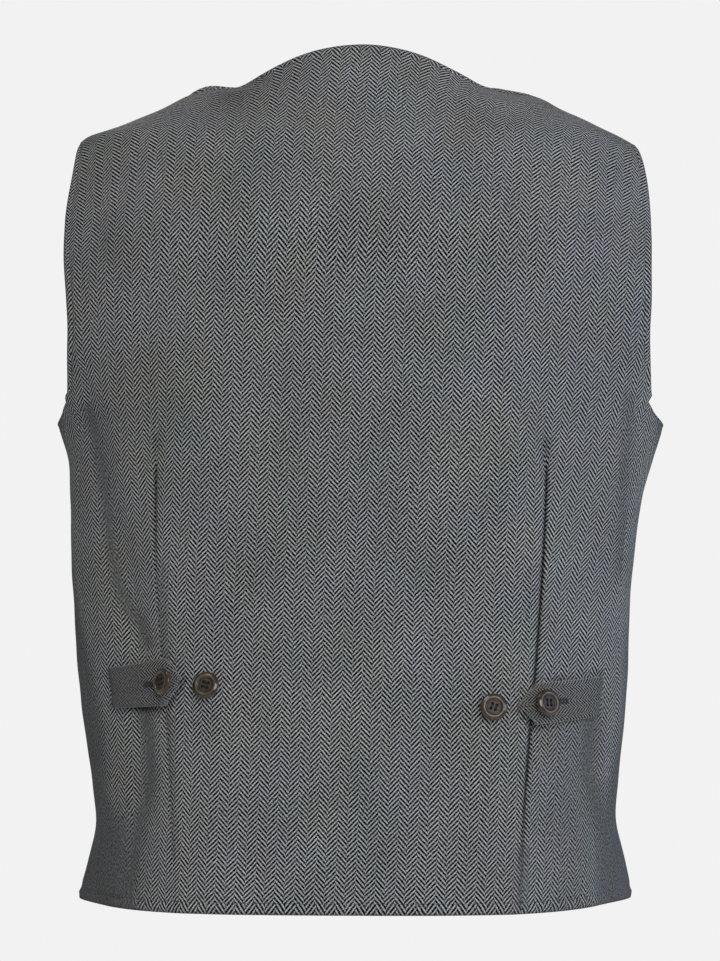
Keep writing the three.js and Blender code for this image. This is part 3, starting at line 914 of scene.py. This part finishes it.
# The half belts. level and height are given at the outer and the inner end, and rub says how much of the
# nap is lost and how far along.
tabs = [
    {"name": "left", "side": 1, "outer": 170.5, "corner": 129.4, "point": 118.5, "pointRise": 3,
     "level": (-426.5, -420.5), "height": (28, 33), "buttonX": 129, "rub": (0.75, 0.6),
     "creases": [(0.74, 0.3), (-0.26, 0.45)]},
    {"name": "right", "side": -1, "outer": 168.5, "corner": 122, "point": 110.5, "pointRise": 0,
     "level": (-432, -435.5), "height": (28, 28.5), "buttonX": 128, "rub": (0.35, 0.3),
     "creases": [(0.1, 0.3)]},
]
# What both half belts share.
tab = {
    "columns": 96,
    "rows": 56,
    "thick": 2.4,
    "lift": 0.4,
    "slant": 2.4,
    "pointLift": 1.2,  # the point stands off the back
    "lowerLift": 1.6,  # and so does the lower edge
    "crown": 0.5,
    "crownReach": 5,
    "edgeDrop": 0.8,
    "edgeReach": 1.8,
    "sewnDrop": 1.2,  # sewn down at the outer end
    "sewnReach": 3.5,
    "length": 46,
    "slit": 9.5,
    "slitSink": 1.5,
    "lips": (1.5, 0.9, 0.35),  # place, width and height of the swelling beside the slit
    "creaseWidth": 0.9,
    "weave": 0.74,  # size of its weave
    "worn": 0.3,  # least share of its nap that is lost
}


def makeTab(spec):
    side = spec["side"]

    def spot(u, v):
        across = (v - 0.5) * 2
        tip = mix(spec["corner"], spec["point"], 1 - np.abs(across))
        x = side * mix(spec["outer"] + tab["slant"] * across, tip, u)
        half = mix(*spec["height"], u) / 2
        drawnUp = spec["pointRise"] * u**6 * (1 - np.abs(across))
        return x, mix(*spec["level"], u) + drawnUp + across * half, across * half, half

    def place(u, v, out):
        x, level, up, half = spot(u, v)
        raised = tab["pointLift"] * smooth(u, 0.55, 1) ** 2 + tab["lowerLift"] * smooth(-up / half, 0.2, 1)
        return backPoint(level, turnOnBack(level, x), out + tab["lift"] + tab["thick"] + raised, sewn=False)

    def finish(u, v, points):
        x, level, up, half = spot(u, v)
        border = np.minimum(half - np.abs(up), (1 - u) * tab["length"])
        out = tab["crown"] * smooth(border, 0, tab["crownReach"])
        out -= tab["edgeDrop"] * (1 - smooth(border, 0, tab["edgeReach"]))
        out -= tab["sewnDrop"] * (1 - smooth(u * tab["length"], 0, tab["sewnReach"]))
        reach = side * x - spec["buttonX"]
        inSlit = 1 - smooth(np.abs(up), 0.35, 0.95)
        inSlit *= smooth(reach, -2, -1) * (1 - smooth(reach, tab["slit"] - 0.6, tab["slit"]))
        lipAt, lipWidth, lipHeight = tab["lips"]
        lips = bell(np.abs(up) - lipAt, lipWidth) * smooth(reach, -3, -1)
        out += lipHeight * lips * (1 - smooth(reach, tab["slit"], tab["slit"] + 1.5))
        run = smooth(u, 0.02, 0.12) * (1 - smooth(u, 0.6, 0.8))
        for height, deep in spec["creases"]:
            out -= deep * run * bell(up - height * half, tab["creaseWidth"])
        lost, until = spec["rub"]
        rub = np.maximum(lost * (1 - smooth(u, until - 0.2, until + 0.15)), tab["worn"])
        # sunk also paints shade into the slit, and edge marks the folded border, which the cut-crossways
        # tweed paints with a pale highlight.
        return out - tab["slitSink"] * inSlit, {"edge": 0.06 + border / 4, "sunk": inSlit, "rubbed": rub}

    def weave(u, v, middleU, middleV):
        x, level, up, half = spot(u, v)
        return up / tab["weave"], onCloth(level, turnOnBack(level, x))[0] / tab["weave"]

    name = f"{spec['name']}_half_belt"
    return clothPiece(name, tab["columns"], tab["rows"], place, finish, weave, tab["thick"], 0.5)


halfBelts = {spec["name"]: makeTab(spec) for spec in tabs}
print("half belts made")

# The buttons, turned from the profile and drilled with four holes.
button = {
    "radius": 9.5,
    "steps": 56,
    "profile": [
        (0, -2.1), (7.3, -2.1), (8.6, -1.4), (9.2, -0.7), (9.5, 0), (9.4, 0.5), (9.1, 0.9), (8.6, 1.3),
        (8, 1.65), (7.4, 1.94), (6.95, 2.1), (6.55, 2.08), (6.2, 1.86), (5.9, 1.5), (5.65, 1.18), (5.3, 1),
        (4.9, 0.93), (4.5, 0.96), (4.1, 1.05), (3.7, 1.08), (0, 1.08),
    ],
    "holeRadius": 1.05,
    "holeReach": 2.35,
    "thread": 0.2,
    "strands": (-0.32, 0, 0.32),
    "shank": 1.25,  # radius of the wound thread under the button
    "shankDepths": (-3.0, -1.8),
    "shankEnds": (-4.4, -6.2),  # a button tilted off the cloth has the longer shank
}
# How far each button's face looks to its side and up, and how its holes are turned, in degrees.
buttonFacing = {
    "button_tab_left": (52, 8, 20),
    "button_waist_left": (14, 18, -12),
    "button_tab_right": (-37, 14, 84),
    "button_waist_right": (-8, 16, 70),
    "button_front_1": (180, 0, 8),
    "button_front_2": (180, 0, 52),
    "button_front_3": (180, 0, -24),
    "button_front_4": (180, 0, 33),
    "button_front_5": (180, 0, -9),
}


# Cutting the holes gives the corners and faces in an order that changes from run to run, so they are sorted.
def inOrder(mesh):
    order = sorted(range(len(mesh.vertices)), key=lambda i: tuple(mesh.vertices[i].co))
    place = {old: new for new, old in enumerate(order)}
    faces = []
    for face in mesh.polygons:
        corners = [place[i] for i in face.vertices]
        first = corners.index(min(corners))
        faces.append(corners[first:] + corners[:first])
    made = bpy.data.meshes.new(mesh.name)
    made.from_pydata([mesh.vertices[i].co for i in order], [], sorted(faces))
    return made


def buttonBlank():
    bm = bmesh.new()
    verts = [bm.verts.new((r * mm, 0, z * mm)) for r, z in button["profile"]]
    edges = [bm.edges.new(pair) for pair in zip(verts[:-1], verts[1:])]
    bmesh.ops.spin(
        bm, geom=verts + edges, cent=(0, 0, 0), axis=(0, 0, 1), angle=2 * math.pi,
        steps=button["steps"], use_merge=True,
    )
    bmesh.ops.remove_doubles(bm, verts=bm.verts, dist=1e-6)
    bmesh.ops.recalc_face_normals(bm, faces=bm.faces)
    blank = newObject("button blank", meshFrom(bm, "button blank"))
    drill = bmesh.new()
    radius, reach = button["holeRadius"] * mm, button["holeReach"] * mm
    for corner in range(4):
        made = bmesh.ops.create_cone(
            drill, cap_ends=True, segments=20, radius1=radius, radius2=radius, depth=10 * mm
        )
        angle = math.pi / 4 + corner * math.pi / 2
        shift = Vector((reach * math.cos(angle), reach * math.sin(angle), 0))
        bmesh.ops.translate(drill, verts=made["verts"], vec=shift)
    cutter = newObject("button drill", meshFrom(drill, "button drill"))
    modify(blank, "holes", "BOOLEAN", operation="DIFFERENCE", solver="EXACT", object=cutter)
    finished = inOrder(finalMesh(blank))
    bpy.data.objects.remove(cutter)
    # how far each point is from the button's middle, for the polish and the painted ring tones of its face,
    # and which are in a hole, whose walls are painted near black as shade
    reaches = finished.attributes.new("reach", "FLOAT", "POINT")
    holeShades = finished.attributes.new("hollow", "FLOAT", "POINT")
    away = reach / math.sqrt(2)
    for vertex, out, inside in zip(finished.vertices, reaches.data, holeShades.data):
        out.value = vertex.co.xy.length / (button["radius"] * mm) if vertex.co.z > 0 else 0
        gap = math.hypot(abs(vertex.co.x) - away, abs(vertex.co.y) - away)
        inside.value = 1 if gap < 1.05 * radius else 0
    return finished


# Thread is laid as short curves, each a list of points, and turned into one mesh.
def threads(name, lines, radius, sides=2):
    curve = bpy.data.curves.new(name, "CURVE")
    curve.dimensions = "3D"
    curve.bevel_depth = radius
    curve.bevel_resolution = sides
    curve.use_fill_caps = True
    for line in lines:
        spline = curve.splines.new("POLY")
        spline.points.add(len(line) - 1)
        for point, spot in zip(spline.points, line):
            point.co = (*spot, 1)
    mesh = finalMesh(newObject(name, curve))
    mesh.shade_smooth()
    return newObject(name, mesh)


# Thread through the holes in two rows, and wound into a shank that reaches the cloth.
def buttonThread(name, turned, shankEnd):
    away = button["holeReach"] * math.sqrt(0.5) * mm
    lines = []
    for row in (-1, 1):
        for strand in button["strands"]:
            line = []
            for i in range(9):
                t = i / 8 * 2 - 1
                height = 0.9 + 0.6 * math.sqrt(max(0, 1 - (t * 0.999) ** 2)) - 1.6 * (abs(t) > 0.8)
                spot = Vector((t * (away + 0.2 * mm), row * away + strand * mm, height * mm))
                line.append(tuple(turned @ spot))
            lines.append(line)
    for strand in range(10):
        ends = []
        for depth in (shankEnd, *button["shankDepths"]):
            swirl = strand * math.pi / 5 + depth * 0.25
            spot = Vector((button["shank"] * math.cos(swirl), button["shank"] * math.sin(swirl), depth))
            ends.append(tuple(turned @ (spot * mm)))
        lines.append(ends)
    return threads(name, lines, button["thread"] * mm)


blankMesh = buttonBlank()
buttonPieces, threadPieces = {}, {}
for node, (looks, tilted, spun) in buttonFacing.items():
    low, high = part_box(node)
    level = math.cos(math.radians(tilted))
    facing = Vector((math.sin(math.radians(looks)) * level, math.cos(math.radians(looks)) * level, 0))
    facing.z = math.sin(math.radians(tilted))
    turned = facing.to_track_quat("Z", "Y").to_matrix().to_4x4() @ Matrix.Rotation(math.radians(spun), 4, "Z")
    moved = Matrix.Translation((Vector(low) + Vector(high)) / 2)
    mesh = blankMesh.copy()
    mesh.transform(turned)
    mesh.transform(moved)
    mesh.shade_smooth()
    piece = newObject(node.replace("button", "horn_button"), mesh)
    modify(piece, "hole edges", "BEVEL", width=0.12 * mm, segments=2, **sharpOnly)
    buttonPieces[node] = piece
    threadName = node.replace("button", "button_thread")
    threadPieces[node] = buttonThread(threadName, moved @ turned, button["shankEnds"][tilted > 0])
print("buttons made")

stitch = {"length": 2.5, "gap": 0.9, "radius": 0.2, "proud": 0.12, "dip": 0.28}


# Where a cloth's field of shares reaches one: the line of stitches beside an edge.
def stitchLine(place, finish, fixed, search, field, alongU):
    fixedAll, searchAll = np.repeat(fixed, len(search)), np.tile(search, len(fixed))
    u, v = (fixedAll, searchAll) if alongU else (searchAll, fixedAll)
    _, fields = finish(u, v, place(u, v, np.zeros(len(u))))
    line = []
    for share, values in zip(fixed, fields[field].reshape(len(fixed), len(search))):
        if values[0] > 1 or values.max() < 1:
            continue
        last = int(np.argmax(values > 1))
        t = (1 - values[last - 1]) / (values[last] - values[last - 1])
        at = search[last - 1] + (search[last] - search[last - 1]) * t
        line.append((share, at) if alongU else (at, share))
    spots = np.array(line)
    u, v = spots[:, 0], spots[:, 1]
    out, _ = finish(u, v, place(u, v, np.zeros(len(u))))
    return place(u, v, out + stitch["proud"])


def runStitches(line):
    steps = np.linalg.norm(np.diff(line, axis=0), axis=-1)
    run = np.concatenate([[0], np.cumsum(steps)])
    pitch = stitch["length"] + stitch["gap"]
    spans = []
    for start in np.arange(stitch["gap"], run[-1] - stitch["length"], pitch):
        places = start + np.array([0, 0.5, 1]) * stitch["length"]
        at = np.stack([np.interp(places, run, line[:, axis]) for axis in range(3)], axis=-1)
        away = at * np.array([1, 1, 0])
        away /= np.linalg.norm(away, axis=-1, keepdims=True)
        at -= away * np.array([[stitch["dip"]], [-0.05], [stitch["dip"]]])
        spans.append([tuple(point * mm) for point in at])
    return spans


def laidStitches(name, place, finish, lines):
    spans = []
    for fixed, search, field, alongU in lines:
        spans += runStitches(stitchLine(place, finish, fixed, search, field, alongU))
    return threads(name, spans, stitch["radius"] * mm, 0)


near, far = np.linspace(0, 0.16, 60), np.linspace(1, 0.84, 60)
whole = np.linspace(0.001, 0.999, 400)
armShares = np.linspace(stopShares[2], stopShares[5], 200)[3:-3]
stitches = {
    "back": laidStitches("back_stitches", backPlace, backFinish, [
        (whole, near, "hem", True),
        (np.linspace(0.02, 0.98, 300), far, "neck", True),
        (armShares, near, "armhole", False),
        (armShares, far, "armhole", False),
    ])
}
for part, (piece, place, finish) in fronts.items():
    stitches[part] = laidStitches(f"{part}_front_stitches", place, finish, [
        (whole, near, "hem", True),
        (whole, far, "neck", False),
        (np.linspace(seamShare, 0.995, 250)[2:], near, "armhole", False),
    ])

# Buttonholes are bound: a cord lies round the slit and short threads are worked over it.
buttonhole = {
    "tab": 15.5,  # length on a half belt
    "front": 21.0,
    "frontLevels": (-330, -528, 5),  # first, last and how many
    "frontX": 10.5,
    "past": 3.5,  # a half belt's buttonhole lies this much further out than its slit
    "gimp": 0.34,
    "spread": 0.95,
    "pitch": 0.72,
    "thread": 0.2,
    "threadOut": (0.25, 0.75, 1.35, 1.95),  # a worked thread goes out over the gimp and back to the cloth
    "threadLift": (-0.1, 0.62, 0.62, -0.05),
    "threadLean": 0.12,
}


def boundHole(name, surface, length):
    half, spread = length / 2, buttonhole["spread"]
    turns = np.linspace(0, 2 * math.pi, 33)
    x = np.copysign(half - spread, np.cos(turns)) + spread * np.cos(turns)
    loop = surface(x, spread * np.sin(turns), np.full(33, 0.35))
    gimp = threads(name + "_gimp", [loop * mm], buttonhole["gimp"] * mm, 1)
    count = int(length / buttonhole["pitch"])
    starts = -half + (np.arange(count) + 0.5) * length / count
    out = np.array(buttonhole["threadOut"])
    x = starts[:, None] + buttonhole["threadLean"] * out
    lines = []
    for side in (-1, 1):
        laid = surface(x.ravel(), np.tile(side * out, count), np.tile(buttonhole["threadLift"], count))
        lines.extend(laid.reshape(count, len(out), 3) * mm)
    whip = threads(name, lines, buttonhole["thread"] * mm, 0)
    joined = bmesh.new()
    joined.from_mesh(gimp.data)
    joined.from_mesh(whip.data)
    joined.to_mesh(whip.data)
    joined.free()
    bpy.data.objects.remove(gimp)
    whip.data.shade_smooth()
    return whip


holes = {}
for spec in tabs:
    side = spec["side"]
    centreX = spec["buttonX"] + tab["slit"] / 2 + buttonhole["past"]
    level = mix(*spec["level"], (spec["outer"] - centreX) / (spec["outer"] - spec["point"]))

    def onTab(x, y, lift, side=side, centreX=centreX, level=level):
        turn = turnOnBack(level + y, side * (centreX + x))
        return backPoint(level + y, turn, tab["lift"] + tab["thick"] + tab["crown"] + lift, sewn=False)

    holes[spec["name"]] = boundHole(f"{spec['name']}_half_belt_buttonhole", onTab, buttonhole["tab"])

frontHoles = []
for i, level in enumerate(np.linspace(*buttonhole["frontLevels"])):
    def onFront(x, y, lift, level=level):
        turn = np.abs(turnAt(level + y, buttonhole["frontX"] + x, True))
        return frontPoint("left", level + y, turn, lift)

    frontHoles.append(boundHole(f"front_buttonhole_{i + 1}", onFront, buttonhole["front"]))
print("stitches and buttonholes laid")


def linear(hexColour):
    parts = [int(hexColour[i : i + 2], 16) / 255 for i in (1, 3, 5)]
    return (*[c / 12.92 if c <= 0.04045 else ((c + 0.055) / 1.055) ** 2.4 for c in parts], 1)


# Adds a node with its settings. Its inputs are a list from the first one on, or go by name or number. Each
# is a value, an output, or a node for its first output.
def add(tree, kind, inputs=(), **settings):
    made = tree.nodes.new("ShaderNode" + kind)
    for key, value in settings.items():
        setattr(made, key, value)
    for key, value in inputs.items() if isinstance(inputs, dict) else enumerate(inputs):
        if isinstance(value, bpy.types.Node):
            value = value.outputs[0]
        if isinstance(value, bpy.types.NodeSocket):
            tree.links.new(value, made.inputs[key])
        else:
            made.inputs[key].default_value = value
    return made


# surface lays the nodes of a material and returns the inputs of its shader.
def newMaterial(name, surface, *look):
    material = bpy.data.materials.new(name)
    material.use_nodes = True
    tree = material.node_tree
    tree.nodes.clear()
    shader = add(tree, "BsdfPrincipled", surface(tree, *look))
    add(tree, "OutputMaterial", [shader])
    return material


def paintRamp(ramp, colours):
    stops = ramp.color_ramp.elements
    for stop, (position, colour) in zip(stops, (colours[0], colours[-1])):
        stop.position, stop.color = position, linear(colour)
    for position, colour in colours[1:-1]:
        stops.new(position).color = linear(colour)


# Wool tweed woven in a herringbone: a near black warp and a pale grey weft, each float two yarns long, so
# the eye sees thin pale and dark lines that rise and fall in even columns.
tweed = {
    "column": 6.9,  # width of a column of lines
    "repeat": 3.34,  # height from one pale line to the next
    "steepness": 1.06,
    "slip": 1.55,  # each column starts this much higher than the one before
    "yarn": 0.86,
    "stepped": 0.55,  # how far a line goes in steps from yarn to yarn
    "paleFrom": 0.303,  # a pale line begins at this share of a repeat from the middle of a dark one
    "lines": 0.045,  # half the softness between a dark and a pale line
    "wander": (1.2, 1.0, 0),
    "hair": 0.4,
    "dark": "#0A0B0D",
    "pale": "#EEF0F1",
    "edge": "#4F4D4A",
    "worn": 0.7,  # how far an edge has taken the edge colour
    "paleness": 0.67,
    "blend": (-0.27, 0.26),  # the wool in one yarn is darker and paler by this much
    # grey that rubbed and painted-shaded places turn to, darker than the weave's mean
    "matted": 0.17,
    "mattedBlend": 0.45,
    "shade": (0.9, 1.08),
    "sunk": 0.12,  # light left in a sunk line
    "cast": (0.2, 0.07, 0.24),  # how far the dye strays in red, green and blue
    "relief": 0.28,
}


def tweedSurface(tree, look):
    cloth = add(tree, "UVMap", uv_map="Cloth")
    drift = add(tree, "TexNoise", {"Vector": cloth, "Scale": 0.05, "Detail": 2.0}).outputs["Color"]
    centred = add(tree, "VectorMath", [drift, (0.5,) * 3], operation="SUBTRACT")
    wander = add(tree, "VectorMath", [centred, look["wander"]], operation="MULTIPLY")
    fuzz = add(tree, "TexNoise", {"Vector": cloth, "Scale": 0.75, "Detail": 3.0, "Roughness": 0.6})
    loose = add(tree, "VectorMath", [fuzz.outputs["Color"], (0.5,) * 3], operation="SUBTRACT")
    hairy = add(tree, "VectorMath", [loose, (look["hair"],) * 3], operation="MULTIPLY")
    moved = add(tree, "VectorMath", [cloth, wander], operation="ADD")
    placed = add(tree, "VectorMath", [moved, hairy], operation="ADD")
    u, v = add(tree, "SeparateXYZ", [placed]).outputs[:2]
    # lines climb across a column and fall across the next, in steps of a yarn
    stepped = add(tree, "Math", [u, look["yarn"]], operation="SNAP")
    yarnMiddle = add(tree, "Math", [stepped, look["yarn"] / 2], operation="ADD")
    softened = add(tree, "Mix", {0: look["stepped"], 2: u, 3: yarnMiddle}, data_type="FLOAT")
    zig = add(tree, "Math", [softened, look["column"]], operation="PINGPONG")
    columnNumber = add(tree, "Math", [u, look["column"]], operation="DIVIDE")
    whole = add(tree, "Math", [columnNumber], operation="FLOOR")
    slip = add(tree, "Math", [whole, look["slip"]], operation="MULTIPLY")
    wave = add(tree, "Math", [zig, look["steepness"]], operation="MULTIPLY")
    for operation, value in (("ADD", v), ("ADD", slip), ("DIVIDE", look["repeat"]), ("PINGPONG", 0.5)):
        wave = add(tree, "Math", [wave, value], operation=operation)
    ends = [look["paleFrom"] - look["lines"], look["paleFrom"] + look["lines"]]
    paleness = add(tree, "MapRange", [wave, *ends], interpolation_type="SMOOTHSTEP")
    # the wool is blended before it is spun, so neither yarn is one colour
    blend = add(tree, "TexNoise", {"Vector": cloth, "Scale": 0.62, "Detail": 4.0, "Roughness": 0.7})
    mixed = add(tree, "MapRange", [blend, 0.33, 0.67, *look["blend"]])
    lowered = add(tree, "Math", [paleness, look["paleness"]], operation="MULTIPLY")
    clear = add(tree, "Math", [lowered, mixed], operation="ADD")
    # where the nap is rubbed the two yarns run together into a flat grey; along the folds and down the
    # sides this darker grey is also painted shade
    napAndShade = add(tree, "Attribute", attribute_name="rubbed").outputs["Fac"]
    grey = add(tree, "Math", [mixed, look["mattedBlend"], look["matted"]], operation="MULTIPLY_ADD")
    tone = add(tree, "Mix", {0: napAndShade, 2: clear, 3: grey}, data_type="FLOAT")
    yarns = add(tree, "Mix", {0: tone, 6: linear(look["dark"]), 7: linear(look["pale"])}, data_type="RGBA")
    wide = add(tree, "TexNoise", {"Vector": cloth, "Scale": 0.018, "Detail": 3.0})
    shade = add(tree, "MapRange", [wide, 0.3, 0.7, *look["shade"]])
    # painted shade: the sunk attribute darkens the dart seams, their puckers, the lines along the half belts
    # and the belts' slits
    sunk = add(tree, "Attribute", attribute_name="sunk").outputs["Fac"]
    sunkShade = add(tree, "MapRange", [sunk, 0, 1, 1, look["sunk"]])
    shaded = add(tree, "Math", [shade, sunkShade], operation="MULTIPLY")
    # edges take one flat colour: a dull dark grey on the body cloth, and on the half belts a pale painted
    # highlight along the folded edge
    edge = add(tree, "Attribute", attribute_name="edge").outputs["Fac"]
    worn = add(tree, "MapRange", [edge, 0, 0.3, look["worn"], 0])
    rubbed = add(tree, "Mix", {0: worn, 6: yarns.outputs[2], 7: linear(look["edge"])}, data_type="RGBA")
    plain = add(tree, "VectorMath", {0: rubbed.outputs[2], "Scale": shaded}, operation="SCALE")
    # the dye leans a little to blue, green or brown from place to place
    dye = add(tree, "TexNoise", {"Vector": cloth, "Scale": 0.021, "Detail": 2.0}).outputs["Color"]
    middles = [1 - share / 2 for share in look["cast"]]
    cast = add(tree, "VectorMath", [dye, look["cast"], middles], operation="MULTIPLY_ADD")
    colour = add(tree, "VectorMath", [plain, cast], operation="MULTIPLY")
    # each float stands proud as a short round yarn
    across = add(tree, "Math", [u, look["yarn"] / 2], operation="PINGPONG")
    upward = add(tree, "Math", [v, look["yarn"] / 2], operation="PINGPONG")
    floats = add(tree, "Mix", {0: paleness, 2: across, 3: upward}, data_type="FLOAT")
    raised = add(tree, "Math", [paleness, 0.5], operation="MULTIPLY")
    relief = add(tree, "Math", [floats, raised], operation="ADD")
    fibres = add(tree, "Math", [blend, 0.6], operation="MULTIPLY")
    surface = add(tree, "Math", [relief, fibres], operation="ADD")
    bump = add(tree, "Bump", {"Strength": 0.55, "Distance": look["relief"] * mm, "Height": surface})
    return {
        "Base Color": colour,
        "Roughness": 0.9,
        "Sheen Weight": 0.015,
        "Sheen Roughness": 0.45,
        "Specular IOR Level": 0.04,
        "Normal": bump,
    }


herringboneTweed = newMaterial("herringbone wool tweed", tweedSurface, tweed)
# On the half belts the edge colour is a pale painted highlight, where the folded edge catches the light.
crossLook = tweed | {"edge": "#A6A7A6", "pale": "#D0D1CF", "matted": 0.2}
crossTweed = newMaterial("herringbone wool tweed cut crossways", tweedSurface, crossLook)

# Buffalo horn, turned and polished: almost black brown with paler grain, and a wet gloss on the rim.
# Polishing has left the middle grey and the slope brown; the dark groove round the middle is painted
# shade and the pale lip is a painted highlight.
horn = {
    "grain": [(0.42, "#1E1712"), (0.56, "#43352A"), (0.72, "#75664F")],
    # tones by distance from the middle: 0.46 to 0.6 is painted shade in the groove, 0.68 to 0.74 a painted
    # highlight on the lip
    "rings": [
        (0.4, "#5C5049"), (0.46, "#241A14"), (0.6, "#2B2018"), (0.68, "#8F8069"), (0.74, "#8A7A61"),
        (0.8, "#54452F"), (1.0, "#3B2E1F"),
    ],
    # painted shade: the walls of the drilled holes are painted near black
    "hole": "#060504",
    "grainWidth": 3.2,
    "dullTo": (0.56, 0.64),  # the middle is worn dull by fingers as far as this
    "roughness": (0.42, 0.1),  # in the middle and on the rim
    "coat": 0.6,
}


def hornSurface(tree):
    place = add(tree, "TexCoord").outputs["Object"]
    scaled = add(tree, "Mapping", {"Vector": place, "Scale": (1, 1, 0.35), "Rotation": (0.3, 0.5, 0.9)})
    coarse = 1 / (horn["grainWidth"] * mm)
    cloud = add(tree, "TexNoise", {"Vector": scaled, "Scale": coarse / 4, "Detail": 6.0, "Distortion": 1.3})
    streaks = add(tree, "TexNoise", {"Vector": scaled, "Scale": coarse, "Detail": 3.0, "Distortion": 0.6})
    depth = add(tree, "Mix", {0: 0.35, 2: cloud, 3: streaks}, data_type="FLOAT")
    grain = add(tree, "ValToRGB", [depth])
    paintRamp(grain, horn["grain"])
    reach = add(tree, "Attribute", attribute_name="reach").outputs["Fac"]
    # the ring tones, with their painted highlight on the lip and painted shade in the groove, are mixed half
    # and half with the grain
    rings = add(tree, "ValToRGB", [reach])
    paintRamp(rings, horn["rings"])
    worn = add(tree, "Mix", {0: 0.5, 6: grain, 7: rings}, data_type="RGBA").outputs[2]
    # painted shade: the holes' walls are painted near black
    hollow = add(tree, "Attribute", attribute_name="hollow").outputs["Fac"]
    darkened = add(tree, "Mix", {0: hollow, 6: worn, 7: linear(horn["hole"])}, data_type="RGBA")
    scuffs = add(tree, "TexNoise", {"Vector": place, "Scale": 900.0, "Detail": 2.0})
    polish = add(tree, "MapRange", [reach, *horn["dullTo"]])
    dulled = add(tree, "MapRange", [polish, 0, 1, *horn["roughness"]])
    gloss = add(tree, "Math", [scuffs, 0.12, dulled], operation="MULTIPLY_ADD")
    coat = add(tree, "Math", [polish, horn["coat"]], operation="MULTIPLY")
    bump = add(tree, "Bump", {"Strength": 0.12, "Distance": 0.1 * mm, "Height": streaks})
    return {
        "Base Color": darkened.outputs[2],
        "Roughness": gloss,
        "IOR": 1.54,
        "Coat Weight": coat,
        "Coat Roughness": 0.06,
        "Normal": bump,
    }


# Waxed linen and silk twist: dull, twisted, close to black.
def threadSurface(tree, colour, pale):
    place = add(tree, "TexCoord").outputs["Object"]
    twist = add(tree, "TexWave", {"Vector": place, "Scale": 420.0, "Distortion": 3.0, "Detail": 1.0})
    twist = twist.outputs["Fac"]
    tone = add(tree, "Mix", {0: twist, 6: linear(colour), 7: linear(pale)}, data_type="RGBA")
    bump = add(tree, "Bump", {"Strength": 0.4, "Distance": 0.08 * mm, "Height": twist})
    return {"Base Color": tone.outputs[2], "Roughness": 0.75, "Sheen Weight": 0.1, "Normal": bump}


polishedHorn = newMaterial("polished buffalo horn", hornSurface)
buttonTwist = newMaterial("waxed button thread", threadSurface, "#16120F", "#3A322C")
sewingThread = newMaterial("dark grey sewing thread", threadSurface, "#26282B", "#4A4D51")
print("materials made")


# What each piece is finished in and stands for. All of them ride on the one body.
def settle(piece, material, slot, *nodes):
    piece.data.materials.clear()
    piece.data.materials.append(material)
    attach(piece, "root")
    if nodes:
        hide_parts(*nodes)


settle(backPiece, herringboneTweed, "tweed", "back")
for part, (piece, _, _) in fronts.items():
    settle(piece, herringboneTweed, "tweed", f"front_{part}")
for part, piece in halfBelts.items():
    settle(piece, crossTweed, "tab_tweed", f"tab_{part}")
for node, piece in buttonPieces.items():
    settle(piece, polishedHorn, "horn_button", node)
    settle(threadPieces[node], buttonTwist, "horn_button")
for piece in stitches.values():
    settle(piece, sewingThread, "tweed")
for piece in [*holes.values(), *frontHoles]:
    settle(piece, sewingThread, "tab_tweed")

# Floor, lights and camera. The backdrop is a bright even white, and gives the cloth less light than it
# shows.
studio = {
    "backdrop": "#F2F2F2",
    "ambient": ("#EFF2F6", 0.2),
    "floorLevel": -0.9,
    "floorRadius": 1.5,
    "lightsAim": (0, 0, -0.28),
    "lens": 125.74,
    "camera": (-0.08376, 2.39854, -0.2814),  # 2.4 m behind the garment, level with its middle
    "cameraAim": (0, 0, -0.2814),
}


# Matt painted board, with a faint unevenness from the roller.
def floorSurface(tree):
    place = add(tree, "TexCoord").outputs["Object"]
    roller = add(tree, "TexNoise", {"Vector": place, "Scale": 3.0, "Detail": 4.0})
    tone = add(tree, "Mix", {0: roller, 6: linear("#E9E9E8"), 7: linear("#EFEFEE")}, data_type="RGBA")
    return {"Base Color": tone.outputs[2], "Roughness": 0.8}


bm = bmesh.new()
bmesh.ops.create_circle(bm, cap_ends=True, segments=96, radius=studio["floorRadius"])
bmesh.ops.translate(bm, verts=bm.verts, vec=(0, 0, studio["floorLevel"]))
floor = newObject("floor", meshFrom(bm, "floor"))
floor.data.materials.append(newMaterial("matt white paint", floorSurface))

scene = bpy.context.scene
world = bpy.data.worlds.new("studio")
scene.world = world
world.use_nodes = True
world.node_tree.nodes.clear()
colour, strength = studio["ambient"]
backdrop = add(world.node_tree, "Background", [linear(studio["backdrop"]), 1.0])
ambient = add(world.node_tree, "Background", [linear(colour), strength])
seen = add(world.node_tree, "LightPath").outputs["Is Camera Ray"]
either = add(world.node_tree, "MixShader", [seen, ambient, backdrop])
add(world.node_tree, "OutputWorld", [either])


def aimed(name, data, place, target):
    holder = newObject(name, data)
    holder.location = place
    holder.rotation_euler = (Vector(target) - Vector(place)).to_track_quat("-Z", "Y").to_euler()
    return holder


lights = [
    # name, place, size, watts, colour
    ("key", (-1.05, 2.75, 0.6), 1.7, 27, "#FFFFFF"),
    ("cool side", (-2.3, 0.7, 0.2), 1.3, 11, "#C6DCFF"),
    ("top", (0.7, 0.9, 1.9), 1.1, 9, "#FFF8EE"),
    ("front fill", (0.3, -2.6, 0.6), 1.8, 40, "#FFFFFF"),
]
for name, place, size, watts, colour in lights:
    lamp = bpy.data.lights.new(name, "AREA")
    lamp.shape = "DISK"
    lamp.size = size
    lamp.energy = watts
    lamp.color = linear(colour)[:3]
    aimed(name, lamp, place, studio["lightsAim"])

cameraData = bpy.data.cameras.new("camera")
cameraData.sensor_fit = "VERTICAL"
cameraData.sensor_height = 36
cameraData.lens = studio["lens"]
scene.camera = aimed("camera", cameraData, studio["camera"], studio["cameraAim"])
scene.view_settings.view_transform = "Standard"
scene.view_settings.look = "None"
print("lights and camera set")

bpy.context.view_layer.update()
